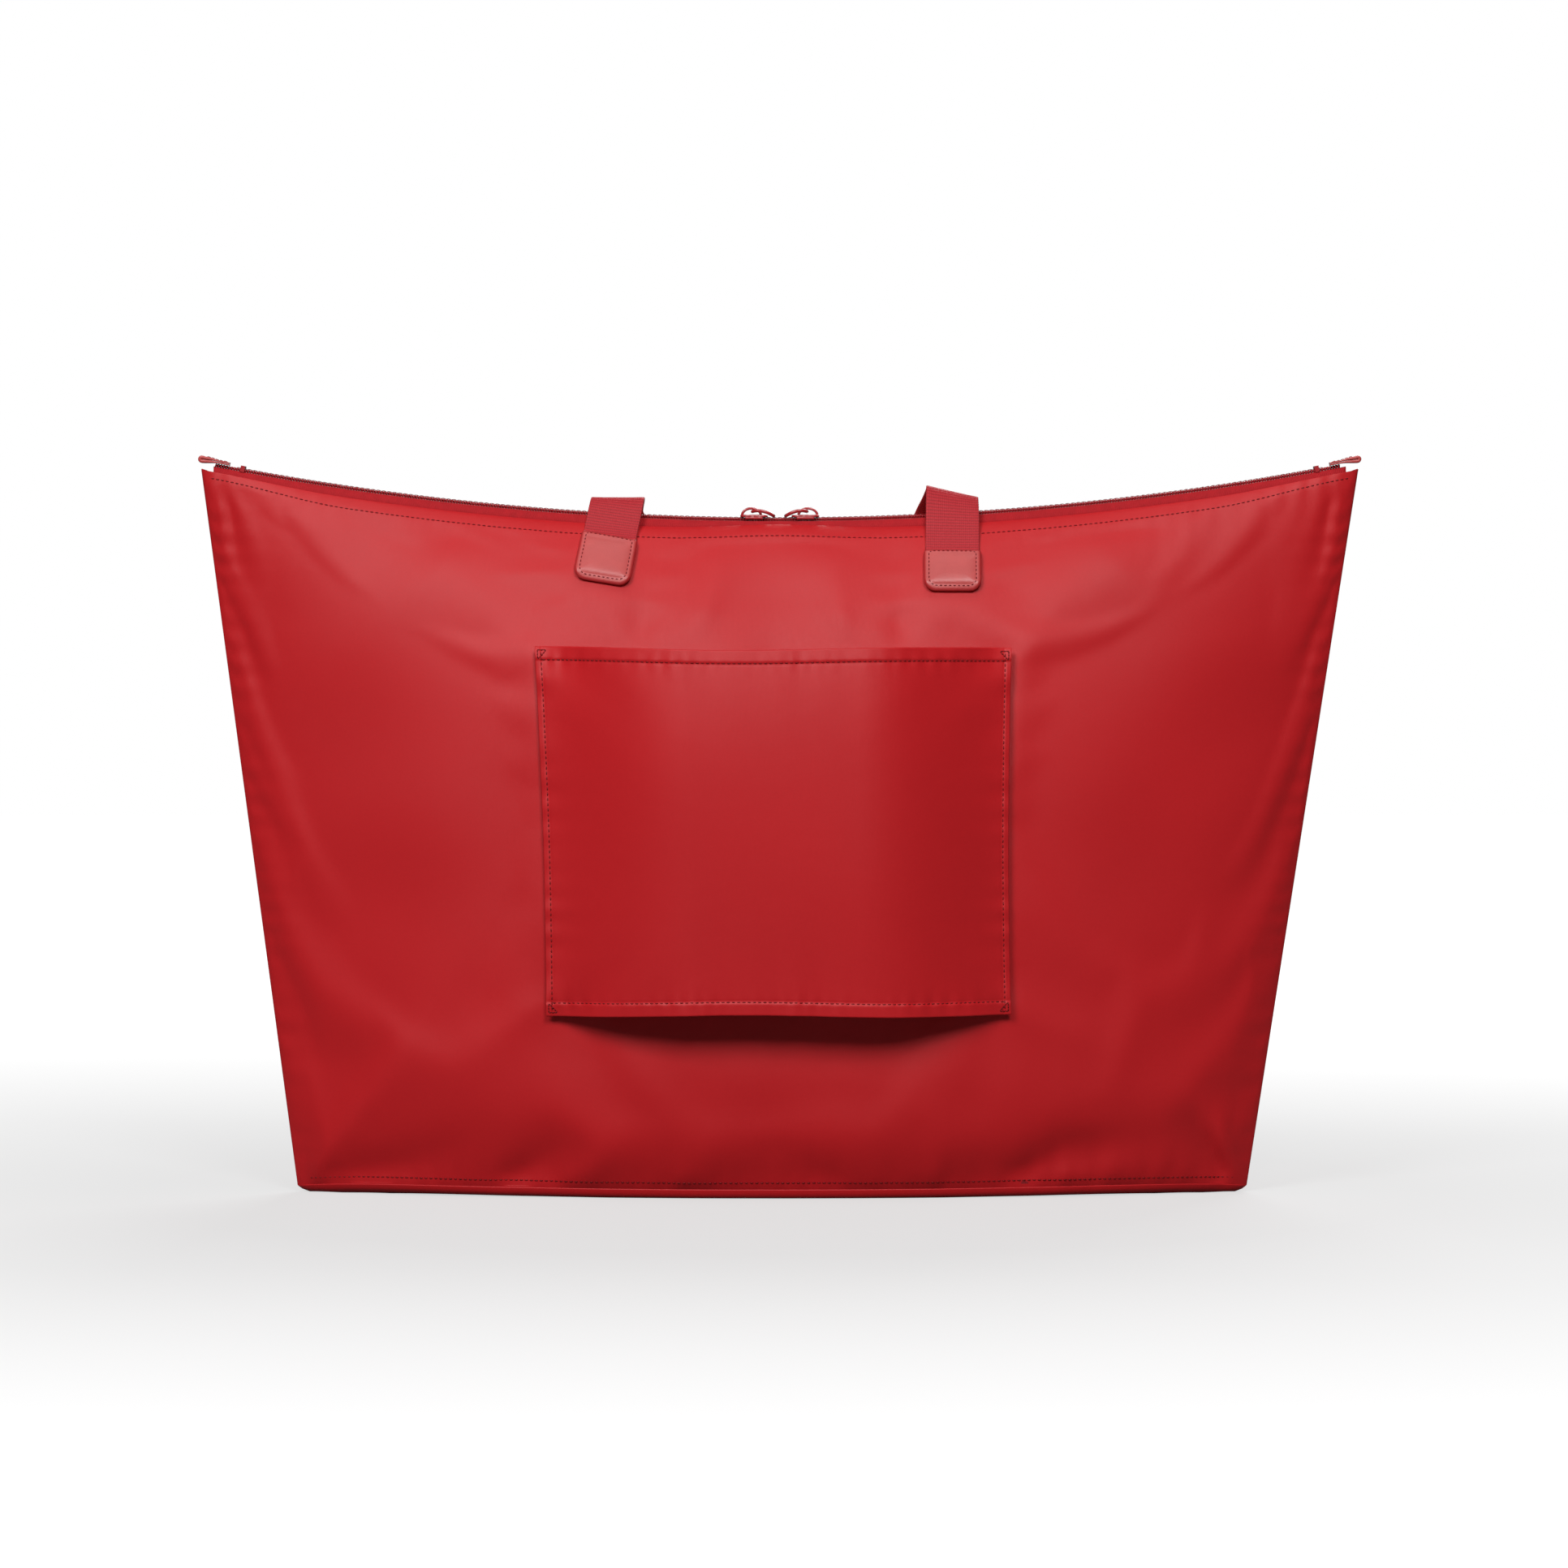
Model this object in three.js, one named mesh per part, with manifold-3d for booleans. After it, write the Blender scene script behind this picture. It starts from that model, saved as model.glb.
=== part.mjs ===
// A foldable nylon tote bag, filled out, with both handles lying over its front.
// Millimetres, +Z up. The origin is the middle of the flat base, X is the width, and the
// back of the bag, which carries the luggage sleeve, faces -Y.
import * as THREE from 'three';
import Module from 'manifold-3d';
import { mergeVertices } from 'three/addons/utils/BufferGeometryUtils.js';

const wasm = await Module();
wasm.setup();

// ---- Driving dimensions ---------------------------------------------------------------

const GAP = 0.3; // clearance kept between pieces that touch

// Body
const BASE_HALF_WIDTH = 222;
const TOP_HALF_WIDTH = 270;
const SEAM_HEIGHT = 335; // height of the side seams' upper ends
const PANEL_THICKNESS = 1.6;
const BASE_THICKNESS = 2;
const PANEL_FOOT = BASE_THICKNESS + GAP; // where the two panels start above the base
const SEAM_HALF_DEPTH = PANEL_THICKNESS + GAP / 2; // half depth of the bag at a side seam
const LENS_POWER = 0.8; // plan outline between the side seams: 1 is a parabola
const LIP_DEPTH = 6.5; // how far each panel stands off the middle along the zip
const LIP_POWER = 16; // how squarely that lip ends at the corners
const BACK = { name: 'back', sign: -1, depth: 55, fullness: 6, roundness: 0.8 };
const FRONT = { name: 'front', sign: 1, depth: 78, fullness: 3.4, roundness: 0.85 };

// Zip, which sags along a circular arc
const ZIP_MID_HEIGHT = 314.5;
const ZIP_RADIUS = 1384;
const ZIP_HALF_LENGTH = 258;
const PANEL_DROP = 6; // from the zip line down to the panels' upper edges
const COIL_INNER = 0.7;
const COIL_OUTER = 2.9;
const COIL_TOP = 1;
const COIL_BOTTOM = -0.8;
const TAPE_THICKNESS = 0.6;
const TAPE_CLEARANCE = 0.35;
const STOP_X = 251;
const STOP_LENGTH = 2;
const TAB_WIDTH = 8;

// Sliders and their rings
const SLIDER_X = 12;
const SLIDER_LENGTH = 13;
const SLIDER_WIDTH = 9;
const PLATE_LOW = 1.3;
const PLATE_TOP = 2.3;
const CROWN_WIDTH = 2.4;
const RING_PIN = { x: 0.8, z: 3.85 }; // where the ring turns in the slider's crown
const RING_WIRE = 0.75;
const RING_BOW = 0.4; // how far the ring's sides arch above its ends
const RING_DROP = 1.4; // its far end lies this much lower than its pin

// Handles
const STRAP_WIDTH = 25;
const STRAP_THICKNESS = 1.4;
const STRAP_X = 81;
const STRAP_FOOT = 283.5; // lower end of each strap, under its patch
const ARCH_HEIGHT = 7.6; // strap's mid-thickness above the zip line where it crosses
const PATCH_LOW = 280.5;
const PATCH_HIGH = 298.5;
const LEFT_LIFT = 4; // the back handle's left end is sewn on higher, under a taller patch
const LEFT_GROWTH = 3;
const PATCH_WIDTH = 26.5;
const PATCH_CORNER = 6;
const PATCH_THICKNESS = 2;
const LEFT_LEAN = THREE.MathUtils.degToRad(9.5); // the back handle's left end leans inward

// Luggage sleeve
const SLEEVE_LOW = 87;
const SLEEVE_HIGH = 254;
const SLEEVE_TOP_HALF = 110;
const SLEEVE_BOTTOM_HALF = 107;
const SLEEVE_BOW_LOW = 20; // how far the sleeve stands off the back at its lower edge
const SLEEVE_BOW_HIGH = 30;
const SLEEVE_THICKNESS = 1.2;

// Inside pocket
const POCKET_LOW = 110;
const POCKET_HIGH = 245;
const POCKET_HALF = 90;
const POCKET_BOW = 5;
const POCKET_THICKNESS = 0.8;
const HEM_HEIGHT = 12;

// ---- Geometry helpers -----------------------------------------------------------------

const { clamp, lerp, smoothstep } = THREE.MathUtils;
const vector = (x, y, z) => new THREE.Vector3(x, y, z);

function fromTriangles(points, triangles) {
  const geometry = new THREE.BufferGeometry();
  const numbers = points.flatMap((p) => p.toArray());
  geometry.setAttribute('position', new THREE.Float32BufferAttribute(numbers, 3));
  geometry.setIndex(triangles);
  return geometry;
}

// Turns a closed surface the right way out if its signed volume is negative.
function facingOut(points, triangles) {
  let volume = 0;
  for (let i = 0; i < triangles.length; i += 3) {
    const [a, b, c] = [0, 1, 2].map((k) => points[triangles[i + k]]);
    volume += a.dot(b.clone().cross(c));
  }
  if (volume < 0) {
    triangles.reverse();
  }
  return fromTriangles(points, triangles);
}

// The closed solid between two surfaces near(u, v) and far(u, v), with u and v from 0 to 1.
function solidBetween(near, far, columns, rows) {
  const points = [];
  const triangles = [];
  const index = (face, i, j) => (face * (columns + 1) + i) * (rows + 1) + j;
  const quad = (a, b, c, d) => triangles.push(a, b, c, a, c, d);
  for (const surface of [near, far]) {
    for (let i = 0; i <= columns; i += 1) {
      for (let j = 0; j <= rows; j += 1) {
        points.push(surface(i / columns, j / rows));
      }
    }
  }
  for (let i = 0; i < columns; i += 1) {
    for (let j = 0; j < rows; j += 1) {
      quad(index(0, i, j), index(0, i + 1, j), index(0, i + 1, j + 1), index(0, i, j + 1));
      quad(index(1, i, j), index(1, i, j + 1), index(1, i + 1, j + 1), index(1, i + 1, j));
    }
  }
  for (let i = 0; i < columns; i += 1) {
    quad(index(0, i, 0), index(1, i, 0), index(1, i + 1, 0), index(0, i + 1, 0));
    quad(index(0, i, rows), index(0, i + 1, rows), index(1, i + 1, rows), index(1, i, rows));
  }
  for (let j = 0; j < rows; j += 1) {
    quad(index(0, 0, j), index(0, 0, j + 1), index(1, 0, j + 1), index(1, 0, j));
    quad(index(0, columns, j), index(1, columns, j), index(1, columns, j + 1), index(0, columns, j + 1));
  }
  return facingOut(points, triangles);
}

// The surface at(u, v) moved by distance along its own normal.
function offsetSurface(at, distance) {
  const step = 0.002;
  return (u, v) => {
    const [u0, u1] = [Math.max(u - step, 0), Math.min(u + step, 1)];
    const [v0, v1] = [Math.max(v - step, 0), Math.min(v + step, 1)];
    const along = at(u1, v).sub(at(u0, v));
    const up = at(u, v1).sub(at(u, v0));
    return at(u, v).addScaledVector(along.cross(up).normalize(), distance);
  };
}

// A flat strap: station(t) gives its middle, its across direction and its face direction.
function ribbon(station, count, width, thickness) {
  const face = (side) => (t, v) => {
    const { middle, across, outward } = station(t);
    return middle
      .clone()
      .addScaledVector(across, (v - 0.5) * width)
      .addScaledVector(outward, (side * thickness) / 2);
  };
  return solidBetween(face(1), face(-1), count, 1);
}

function toManifold(geometry) {
  geometry.deleteAttribute('normal');
  geometry.deleteAttribute('uv');
  const merged = mergeVertices(geometry, 1e-4);
  return new wasm.Manifold(
    new wasm.Mesh({
      numProp: 3,
      vertProperties: new Float32Array(merged.attributes.position.array),
      triVerts: new Uint32Array(merged.index.array),
    }),
  );
}

function joined(...geometries) {
  const whole = geometries.map(toManifold).reduce((sum, piece) => sum.add(piece));
  const mesh = whole.getMesh();
  const geometry = new THREE.BufferGeometry();
  geometry.setAttribute('position', new THREE.BufferAttribute(mesh.vertProperties, 3));
  geometry.setIndex(new THREE.BufferAttribute(mesh.triVerts, 1));
  return geometry;
}

// An outline in the XZ plane, given as [x, z] points, drawn out to a width centred on Y.
function drawnAcrossY(outline, width) {
  const shape = new THREE.Shape(outline.map(([x, z]) => new THREE.Vector2(x, z)));
  const geometry = new THREE.ExtrudeGeometry(shape, { depth: width, bevelEnabled: false });
  return geometry.rotateX(Math.PI / 2).translate(0, width / 2, 0);
}

function box(length, width, height, x, y, z) {
  return new THREE.BoxGeometry(length, width, height).translate(x, y, z);
}

// ---- The bag's own shape --------------------------------------------------------------

const zipHeight = (x) => ZIP_MID_HEIGHT + ZIP_RADIUS - Math.sqrt(ZIP_RADIUS ** 2 - x ** 2);
const zipAngle = (x) => Math.asin(x / ZIP_RADIUS);
const halfWidth = (z) => lerp(BASE_HALF_WIDTH, TOP_HALF_WIDTH, z / SEAM_HEIGHT);
const panelTop = (across) => zipHeight(across * TOP_HALF_WIDTH) - PANEL_DROP;

// Depth of one side's outer face from the plane of the side seams, at width x and height z.
function halfDepth(side, x, z) {
  const across = clamp(x / halfWidth(z), -1, 1);
  const up = clamp((z - PANEL_FOOT) / (panelTop(across) - PANEL_FOOT), 0, 1);
  const lens = (1 - across ** 2) ** LENS_POWER;
  const lip = Math.sqrt(1 - Math.abs(across) ** LIP_POWER);
  const neck = LIP_DEPTH * lerp(lens, lip, smoothstep(up, 0.8, 1));
  const swell = (side.depth - LIP_DEPTH) * (1 - up ** side.fullness) ** side.roundness;
  return SEAM_HALF_DEPTH + neck + swell * lens;
}

// A point on one side's outer face, pushed off it by a distance.
function onPanel(side, x, z, off) {
  const step = 0.5;
  const slopeX = (halfDepth(side, x + step, z) - halfDepth(side, x - step, z)) / (2 * step);
  const slopeZ = (halfDepth(side, x, z + step) - halfDepth(side, x, z - step)) / (2 * step);
  const normal = vector(-slopeX, 1, -slopeZ).normalize();
  return vector(
    x + normal.x * off,
    side.sign * (halfDepth(side, x, z) + normal.y * off),
    z + normal.z * off,
  );
}

function panel(side) {
  // Columns crowd towards the side seams, where the panel curves most.
  const face = (inset) => (u, v) => {
    const across = Math.sin((u - 0.5) * Math.PI);
    const z = lerp(PANEL_FOOT, panelTop(across), Math.sin((v * Math.PI) / 2) ** 0.9);
    const x = across * halfWidth(z);
    return vector(x, side.sign * (halfDepth(side, x, z) - inset), z);
  };
  return solidBetween(face(0), face(PANEL_THICKNESS), 24, 10);
}

function basePanel() {
  const steps = 24;
  const outline = [];
  for (const side of [BACK, FRONT]) {
    for (let i = 0; i <= steps; i += 1) {
      const x = -side.sign * Math.sin((i / steps - 0.5) * Math.PI) * BASE_HALF_WIDTH;
      outline.push(new THREE.Vector2(x, side.sign * halfDepth(side, x, PANEL_FOOT)));
    }
  }
  const settings = { depth: BASE_THICKNESS, bevelEnabled: false };
  return new THREE.ExtrudeGeometry(new THREE.Shape(outline), settings);
}

// ---- Seam bindings and the inside pocket ----------------------------------------------

function sideBinding(end) {
  const [low, high, rows] = [12, 310, 8];
  const [near, far, half] = [4, 10, 0.6]; // from the side seam inward, and half its thickness
  const face = (y) => (u, v) => {
    const z = lerp(low, high, v);
    return vector(end * (halfWidth(z) - lerp(near, far, u)), y, z);
  };
  return solidBetween(face(half), face(-half), 1, rows);
}

function baseBinding(side) {
  const [reach, height, thickness, columns] = [0.93, 7, 1, 20];
  const face = (inset) => (u, v) => {
    const z = PANEL_FOOT + height * v;
    const x = lerp(-reach, reach, u) * BASE_HALF_WIDTH;
    return vector(x, side.sign * (halfDepth(side, x, z) - PANEL_THICKNESS - GAP - inset), z);
  };
  return solidBetween(face(0), face(thickness), columns, 1);
}

// The pocket hangs on the inner face of the back panel, and its mouth stands a little open.
function pocketFace(inset) {
  return (u, v) => {
    const [x, z] = [lerp(-POCKET_HALF, POCKET_HALF, u), lerp(POCKET_LOW, POCKET_HIGH, v)];
    const bow = POCKET_BOW * (1 - (2 * u - 1) ** 4) * smoothstep(v, 0, 0.5);
    return vector(x, -(halfDepth(BACK, x, z) - PANEL_THICKNESS - 2 * GAP - bow - inset), z);
  };
}

function pocket() {
  return solidBetween(pocketFace(0), pocketFace(POCKET_THICKNESS), 12, 5);
}

function pocketHem() {
  const start = 1 - HEM_HEIGHT / (POCKET_HIGH - POCKET_LOW);
  const inset = POCKET_THICKNESS + 3 * GAP;
  const face = (depth) => (u, v) => pocketFace(depth)(u, lerp(start, 1, v));
  return solidBetween(face(inset), face(inset + POCKET_THICKNESS), 12, 1);
}

// ---- Luggage sleeve -------------------------------------------------------------------

// A band sewn down both sides, open above and below, standing off the back in the middle.
function sleeve() {
  const face = (off) => (u, v) => {
    const z = lerp(SLEEVE_LOW, SLEEVE_HIGH, v);
    const x = (2 * u - 1) * lerp(SLEEVE_BOTTOM_HALF, SLEEVE_TOP_HALF, v);
    const bow = lerp(SLEEVE_BOW_LOW, SLEEVE_BOW_HIGH, v) * (1 - (2 * u - 1) ** 4);
    return vector(x, -(halfDepth(BACK, x, z) + GAP + bow + off), z);
  };
  return solidBetween(face(0), face(SLEEVE_THICKNESS), 16, 6);
}

// ---- Zip ------------------------------------------------------------------------------

// Each tape lies flat under its coil, rolls over the lip and hangs down inside the panel.
function zipTape(side) {
  const profile = [
    [0.11, -1.1],
    [0.58, -1.1],
    [0.82, -2],
    [0.97, -4.2],
    [1, -9],
    [1, -15],
  ];
  const at = (u, v) => {
    const x = lerp(-ZIP_HALF_LENGTH, ZIP_HALF_LENGTH, u);
    const lipDepth = halfDepth(side, x, zipHeight(x) - PANEL_DROP) - PANEL_THICKNESS - TAPE_CLEARANCE;
    const place = v * (profile.length - 1);
    const before = Math.min(Math.floor(place), profile.length - 2);
    const between = (k) => lerp(profile[before][k], profile[before + 1][k], place - before);
    const [share, drop] = [between(0), between(1)];
    return vector(x, side.sign * share * lipDepth, zipHeight(x) + drop);
  };
  const under = offsetSurface(at, -side.sign * TAPE_THICKNESS);
  return solidBetween(at, under, 28, profile.length - 1);
}

function zipCoil(side) {
  const face = (height) => (u, v) => {
    const x = lerp(-ZIP_HALF_LENGTH, ZIP_HALF_LENGTH, u);
    return vector(x, side.sign * lerp(COIL_INNER, COIL_OUTER, v), zipHeight(x) + height);
  };
  return solidBetween(face(COIL_TOP), face(COIL_BOTTOM), 28, 1);
}

// A staple crimped over both coils.
function zipStop() {
  const [inner, outer, foot] = [COIL_OUTER + GAP, COIL_OUTER + 1, -0.6];
  const outline = [
    [-outer, foot],
    [-outer, PLATE_TOP],
    [outer, PLATE_TOP],
    [outer, foot],
    [inner, foot],
    [inner, PLATE_LOW],
    [-inner, PLATE_LOW],
    [-inner, foot],
  ];
  return drawnAcrossY(outline, STOP_LENGTH).rotateZ(Math.PI / 2);
}

// A folded leather tab closing the zip's end; its upper leaf laps over the coils.
function zipEndTab() {
  const [lap, length, thickness, corner] = [4, 14, 2.6, 1.6];
  const outline = [
    [-lap, PLATE_LOW],
    [GAP, PLATE_LOW],
    [GAP, -thickness],
    [length - corner, -thickness],
    [length, -thickness + corner],
    [length, thickness - corner],
    [length - corner, thickness],
    [-lap, thickness],
  ];
  return drawnAcrossY(outline, TAB_WIDTH);
}

// A two-plate slider, its outer end towards +X, with the crown that holds the ring.
function slider() {
  const [length, width, corner] = [SLIDER_LENGTH / 2, SLIDER_WIDTH / 2, 2];
  const [lowPlate, lowWidth, lowThickness] = [-2.6, 4.6, 0.8];
  const [neckX, neckZ, neckLength, neckWidth, neckHeight] = [1.5 - length, -0.4, 3, 0.8, 4];
  const [railLength, railWidth, railHeight, railZ] = [SLIDER_LENGTH - 4, 0.7, 1.2, 0.9];
  const railY = width - railWidth / 2;
  const [crownX, crownZ, crownSteps] = [1.2, 2, 12];
  const [crownReach, crownRise, barReach, barRise] = [4.9, 3.8, 1, 0.9];
  const crown = [];
  const hollow = [];
  for (let i = 0; i <= crownSteps; i += 1) {
    const angle = (i / crownSteps) * Math.PI;
    const [c, s] = [Math.cos(angle), Math.sin(angle)];
    crown.push([crownX + crownReach * c, crownZ + crownRise * s]);
    hollow.unshift([crownX + (crownReach - barReach) * c, crownZ + (crownRise - barRise) * s]);
  }
  const plate = new THREE.Shape();
  plate.moveTo(-length + corner, -width);
  plate.lineTo(length - corner, -width);
  plate.absarc(length - corner, -width + corner, corner, -Math.PI / 2, 0);
  plate.absarc(length - corner, width - corner, corner, 0, Math.PI / 2);
  plate.absarc(-length + corner, width - corner, corner, Math.PI / 2, Math.PI);
  plate.absarc(-length + corner, -width + corner, corner, Math.PI, 1.5 * Math.PI);
  const plateSettings = { depth: PLATE_TOP - PLATE_LOW, bevelEnabled: false, curveSegments: 4 };
  return joined(
    new THREE.ExtrudeGeometry(plate, plateSettings).translate(0, 0, PLATE_LOW),
    box(SLIDER_LENGTH, lowWidth, lowThickness, 0, 0, lowPlate),
    box(neckLength, neckWidth, neckHeight, neckX, 0, neckZ),
    box(railLength, railWidth, railHeight, 0, railY, railZ),
    box(railLength, railWidth, railHeight, 0, -railY, railZ),
    drawnAcrossY([...crown, ...hollow], CROWN_WIDTH),
  );
}

// The ring lies along the slider towards -X; its straight side is the pin it turns on, and
// its two sides arch over the slider's plate.
function pullRing() {
  const [halfLength, halfSpan, squareness, stations, sides] = [5, 4.3, 0.7, 24, 8];
  const middle = (t) => {
    const [c, s] = [Math.cos(t), Math.sin(t)];
    const x = halfLength * (Math.sign(c) * Math.abs(c) ** squareness - 1);
    const out = clamp(-x / (2 * halfLength), 0, 1);
    const rise = RING_BOW * Math.sin(Math.PI * out ** 0.8) - RING_DROP * out ** 2;
    return vector(x, halfSpan * Math.sign(s) * Math.abs(s) ** squareness, rise);
  };
  const points = [];
  const triangles = [];
  for (let i = 0; i < stations; i += 1) {
    const angle = (i / stations) * 2 * Math.PI;
    const tangent = middle(angle + 0.02).sub(middle(angle - 0.02)).normalize();
    const side = vector(tangent.y, -tangent.x, 0).normalize();
    const up = tangent.clone().cross(side);
    for (let j = 0; j < sides; j += 1) {
      const around = (j / sides) * 2 * Math.PI;
      const point = middle(angle).addScaledVector(side, RING_WIRE * Math.cos(around));
      points.push(point.addScaledVector(up, RING_WIRE * Math.sin(around)));
      const [a, b] = [i * sides + j, i * sides + ((j + 1) % sides)];
      const [c, d] = [a, b].map((k) => (k + sides) % (stations * sides));
      triangles.push(a, c, d, a, d, b);
    }
  }
  return facingOut(points, triangles);
}

// ---- Handles --------------------------------------------------------------------------

const ARCH_Z = zipHeight(STRAP_X) + ARCH_HEIGHT;
const FRONT_FOLD = { y: 19.3, z: 306.8 }; // top of the front strap's turn above its patch

// Where each handle end crosses the line that the handle turns about.
const HANDLE_ENDS = {
  back: { right: vector(80.6, 0, ARCH_Z), left: vector(-75.6, 0, ARCH_Z) },
  front: {
    right: vector(STRAP_X, FRONT_FOLD.y, FRONT_FOLD.z),
    left: vector(-STRAP_X, FRONT_FOLD.y, FRONT_FOLD.z),
  },
};

const isBackLeft = (side, end) => side === BACK && end === 'left';

// Lowest and highest point of the leather patch over a strap end.
function patchSpan(side, end) {
  const lift = isBackLeft(side, end) ? LEFT_LIFT : 0;
  const growth = isBackLeft(side, end) ? LEFT_GROWTH : 0;
  return [PATCH_LOW + lift, PATCH_HIGH + lift + growth];
}

// Width of a strap end's middle at height z, straight up to where it turns over.
function strapX(side, end, z) {
  const top = HANDLE_ENDS[side.name][end].x;
  const lean = isBackLeft(side, end) ? LEFT_LEAN : 0;
  return top - Math.tan(lean) * (ARCH_Z - z);
}

// The sewn end of a handle: flat on the panel, then up to the line the handle turns about.
function strapEnd(side, end) {
  const off = GAP + STRAP_THICKNESS / 2;
  const [low, high] = patchSpan(side, end);
  const [foot, leave] = [low + STRAP_FOOT - PATCH_LOW, high + 1];
  const heights = [0, 0.34, 0.69, 1].map((share) => lerp(foot, leave, share));
  const flat = heights.map((z) => onPanel(side, strapX(side, end, z), z, off));
  const rise = flat[3].clone().sub(flat[2]).normalize();
  const top = HANDLE_ENDS[side.name][end].clone();
  top.y -= GAP / 2;
  const [lift, reach] = side === BACK ? [9, 8] : [4, 4];
  const turn = new THREE.CubicBezierCurve3(
    flat[3],
    flat[3].clone().addScaledVector(rise, lift),
    top.clone().add(vector(0, -reach, 0)),
    top,
  );
  const points = [...flat, ...turn.getPoints(7).slice(1)];
  const station = (t) => {
    const i = Math.round(t * (points.length - 1));
    const [before, after] = [points[Math.max(i - 1, 0)], points[Math.min(i + 1, points.length - 1)]];
    const tangent = t === 1 ? vector(0, 1, 0) : after.clone().sub(before).normalize();
    const across = vector(1, 0, 0).addScaledVector(tangent, -tangent.x).normalize();
    return { middle: points[i], across, outward: across.clone().cross(tangent) };
  };
  return ribbon(station, points.length - 1, STRAP_WIDTH, STRAP_THICKNESS);
}

// A loose handle hangs in a loop. Its webbing lies flat at both ends and turns edge-on to
// the bag in the middle, because webbing bends only across its face.
function handle(ends, leg) {
  const right = leg.map(([x, y, z]) => vector(x, y, z));
  const left = leg.slice(0, -1).map(([x, y, z]) => vector(-x, y, z)).reverse();
  const start = [ends.right.clone(), ends.right.clone().add(vector(0, 5, -0.4))];
  const finish = [ends.left.clone().add(vector(0, 5, -0.4)), ends.left.clone()];
  start[0].y += GAP / 2;
  finish[1].y += GAP / 2;
  const curve = new THREE.CatmullRomCurve3([...start, ...right, ...left, ...finish]);
  curve.arcLengthDivisions = 400;
  const station = (t) => {
    const middle = curve.getPointAt(t);
    const tangent = curve.getTangentAt(t);
    const outward = vector(0, middle.y - ends.right.y, Math.max(middle.z - ends.right.z + 20, 0));
    outward.addScaledVector(tangent, -outward.dot(tangent)).normalize();
    const sideways = tangent.clone().cross(outward);
    const twist = (smoothstep(0.5 - Math.abs(t - 0.5), 0.08, 0.42) * Math.PI) / 2;
    const across = sideways.clone().multiplyScalar(Math.cos(twist));
    across.addScaledVector(outward, Math.sin(twist));
    return { middle, across, outward: across.clone().cross(tangent) };
  };
  return ribbon(station, 56, STRAP_WIDTH, STRAP_THICKNESS);
}

// The right leg of each loop, from below the turn down to the middle of the grip.
const BACK_LEG = [
  [76.5, 20, 317],
  [72, 31, 306],
  [65, 39.5, 292],
  [55, 51, 270],
  [43, 65.5, 240],
  [33, 79.5, 205],
  [26, 88, 170],
  [17, 92, 145],
  [0, 93, 134],
];
const FRONT_LEG = [
  [81.3, 28, 301],
  [81.5, 34, 290],
  [81.5, 41, 275],
  [80, 55, 245],
  [77, 68, 210],
  [71, 79, 175],
  [60, 87, 138],
  [38, 92.5, 106],
  [0, 94.5, 94],
];

// A leather patch over the end of a strap, square above and rounded at its lower corners.
function patch(side, end) {
  const off = GAP * 2 + STRAP_THICKNESS;
  const [low, high] = patchSpan(side, end);
  const middle = strapX(side, end, low);
  const lean = isBackLeft(side, end) ? LEFT_LEAN : 0;
  const height = high - low;
  const face = (out) => (u, v) => {
    const up = height * v ** 1.4;
    const short = Math.max(PATCH_CORNER - up, 0);
    const cut = PATCH_CORNER - Math.sqrt(PATCH_CORNER ** 2 - short ** 2);
    const across = (2 * u - 1) * (PATCH_WIDTH / 2 - cut);
    const x = middle + across * Math.cos(lean) + up * Math.sin(lean);
    const z = low + up * Math.cos(lean) - across * Math.sin(lean);
    return onPanel(side, x, z, off + out);
  };
  return solidBetween(face(0), face(PATCH_THICKNESS), 4, 6);
}

// ---- The finished bag -----------------------------------------------------------------

const bag = new THREE.Group();

function add(parent, name, geometry, colour, roughness, metalness = 0) {
  const material = new THREE.MeshStandardMaterial({ color: colour, roughness, metalness });
  const mesh = new THREE.Mesh(geometry, material);
  mesh.name = name;
  parent.add(mesh);
  return mesh;
}

const NYLON = 0xb62c31;
const LINING_SIDE = 0x9c2429;
const WEBBING = 0xb3242b;
const LEATHER = 0xc4423f;
const ZIP_RED = 0x98191f;
const COATED_METAL = 0xa4262b;

add(bag, 'base_panel', basePanel(), NYLON, 0.5);
for (const side of [BACK, FRONT]) {
  add(bag, `${side.name}_panel`, panel(side), NYLON, 0.5);
  add(bag, `base_binding_${side.name}`, baseBinding(side), LINING_SIDE, 0.8);
  add(bag, `zip_tape_${side.name}`, zipTape(side), ZIP_RED, 0.8);
  add(bag, `zip_coil_${side.name}`, zipCoil(side), ZIP_RED, 0.5);
  for (const end of ['left', 'right']) {
    add(bag, `${side.name}_strap_end_${end}`, strapEnd(side, end), WEBBING, 0.8);
    add(bag, `${side.name}_patch_${end}`, patch(side, end), LEATHER, 0.45);
  }
}
add(bag, 'luggage_sleeve', sleeve(), NYLON, 0.5);
add(bag, 'inner_pocket', pocket(), LINING_SIDE, 0.7);
add(bag, 'inner_pocket_hem', pocketHem(), LINING_SIDE, 0.7);

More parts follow.
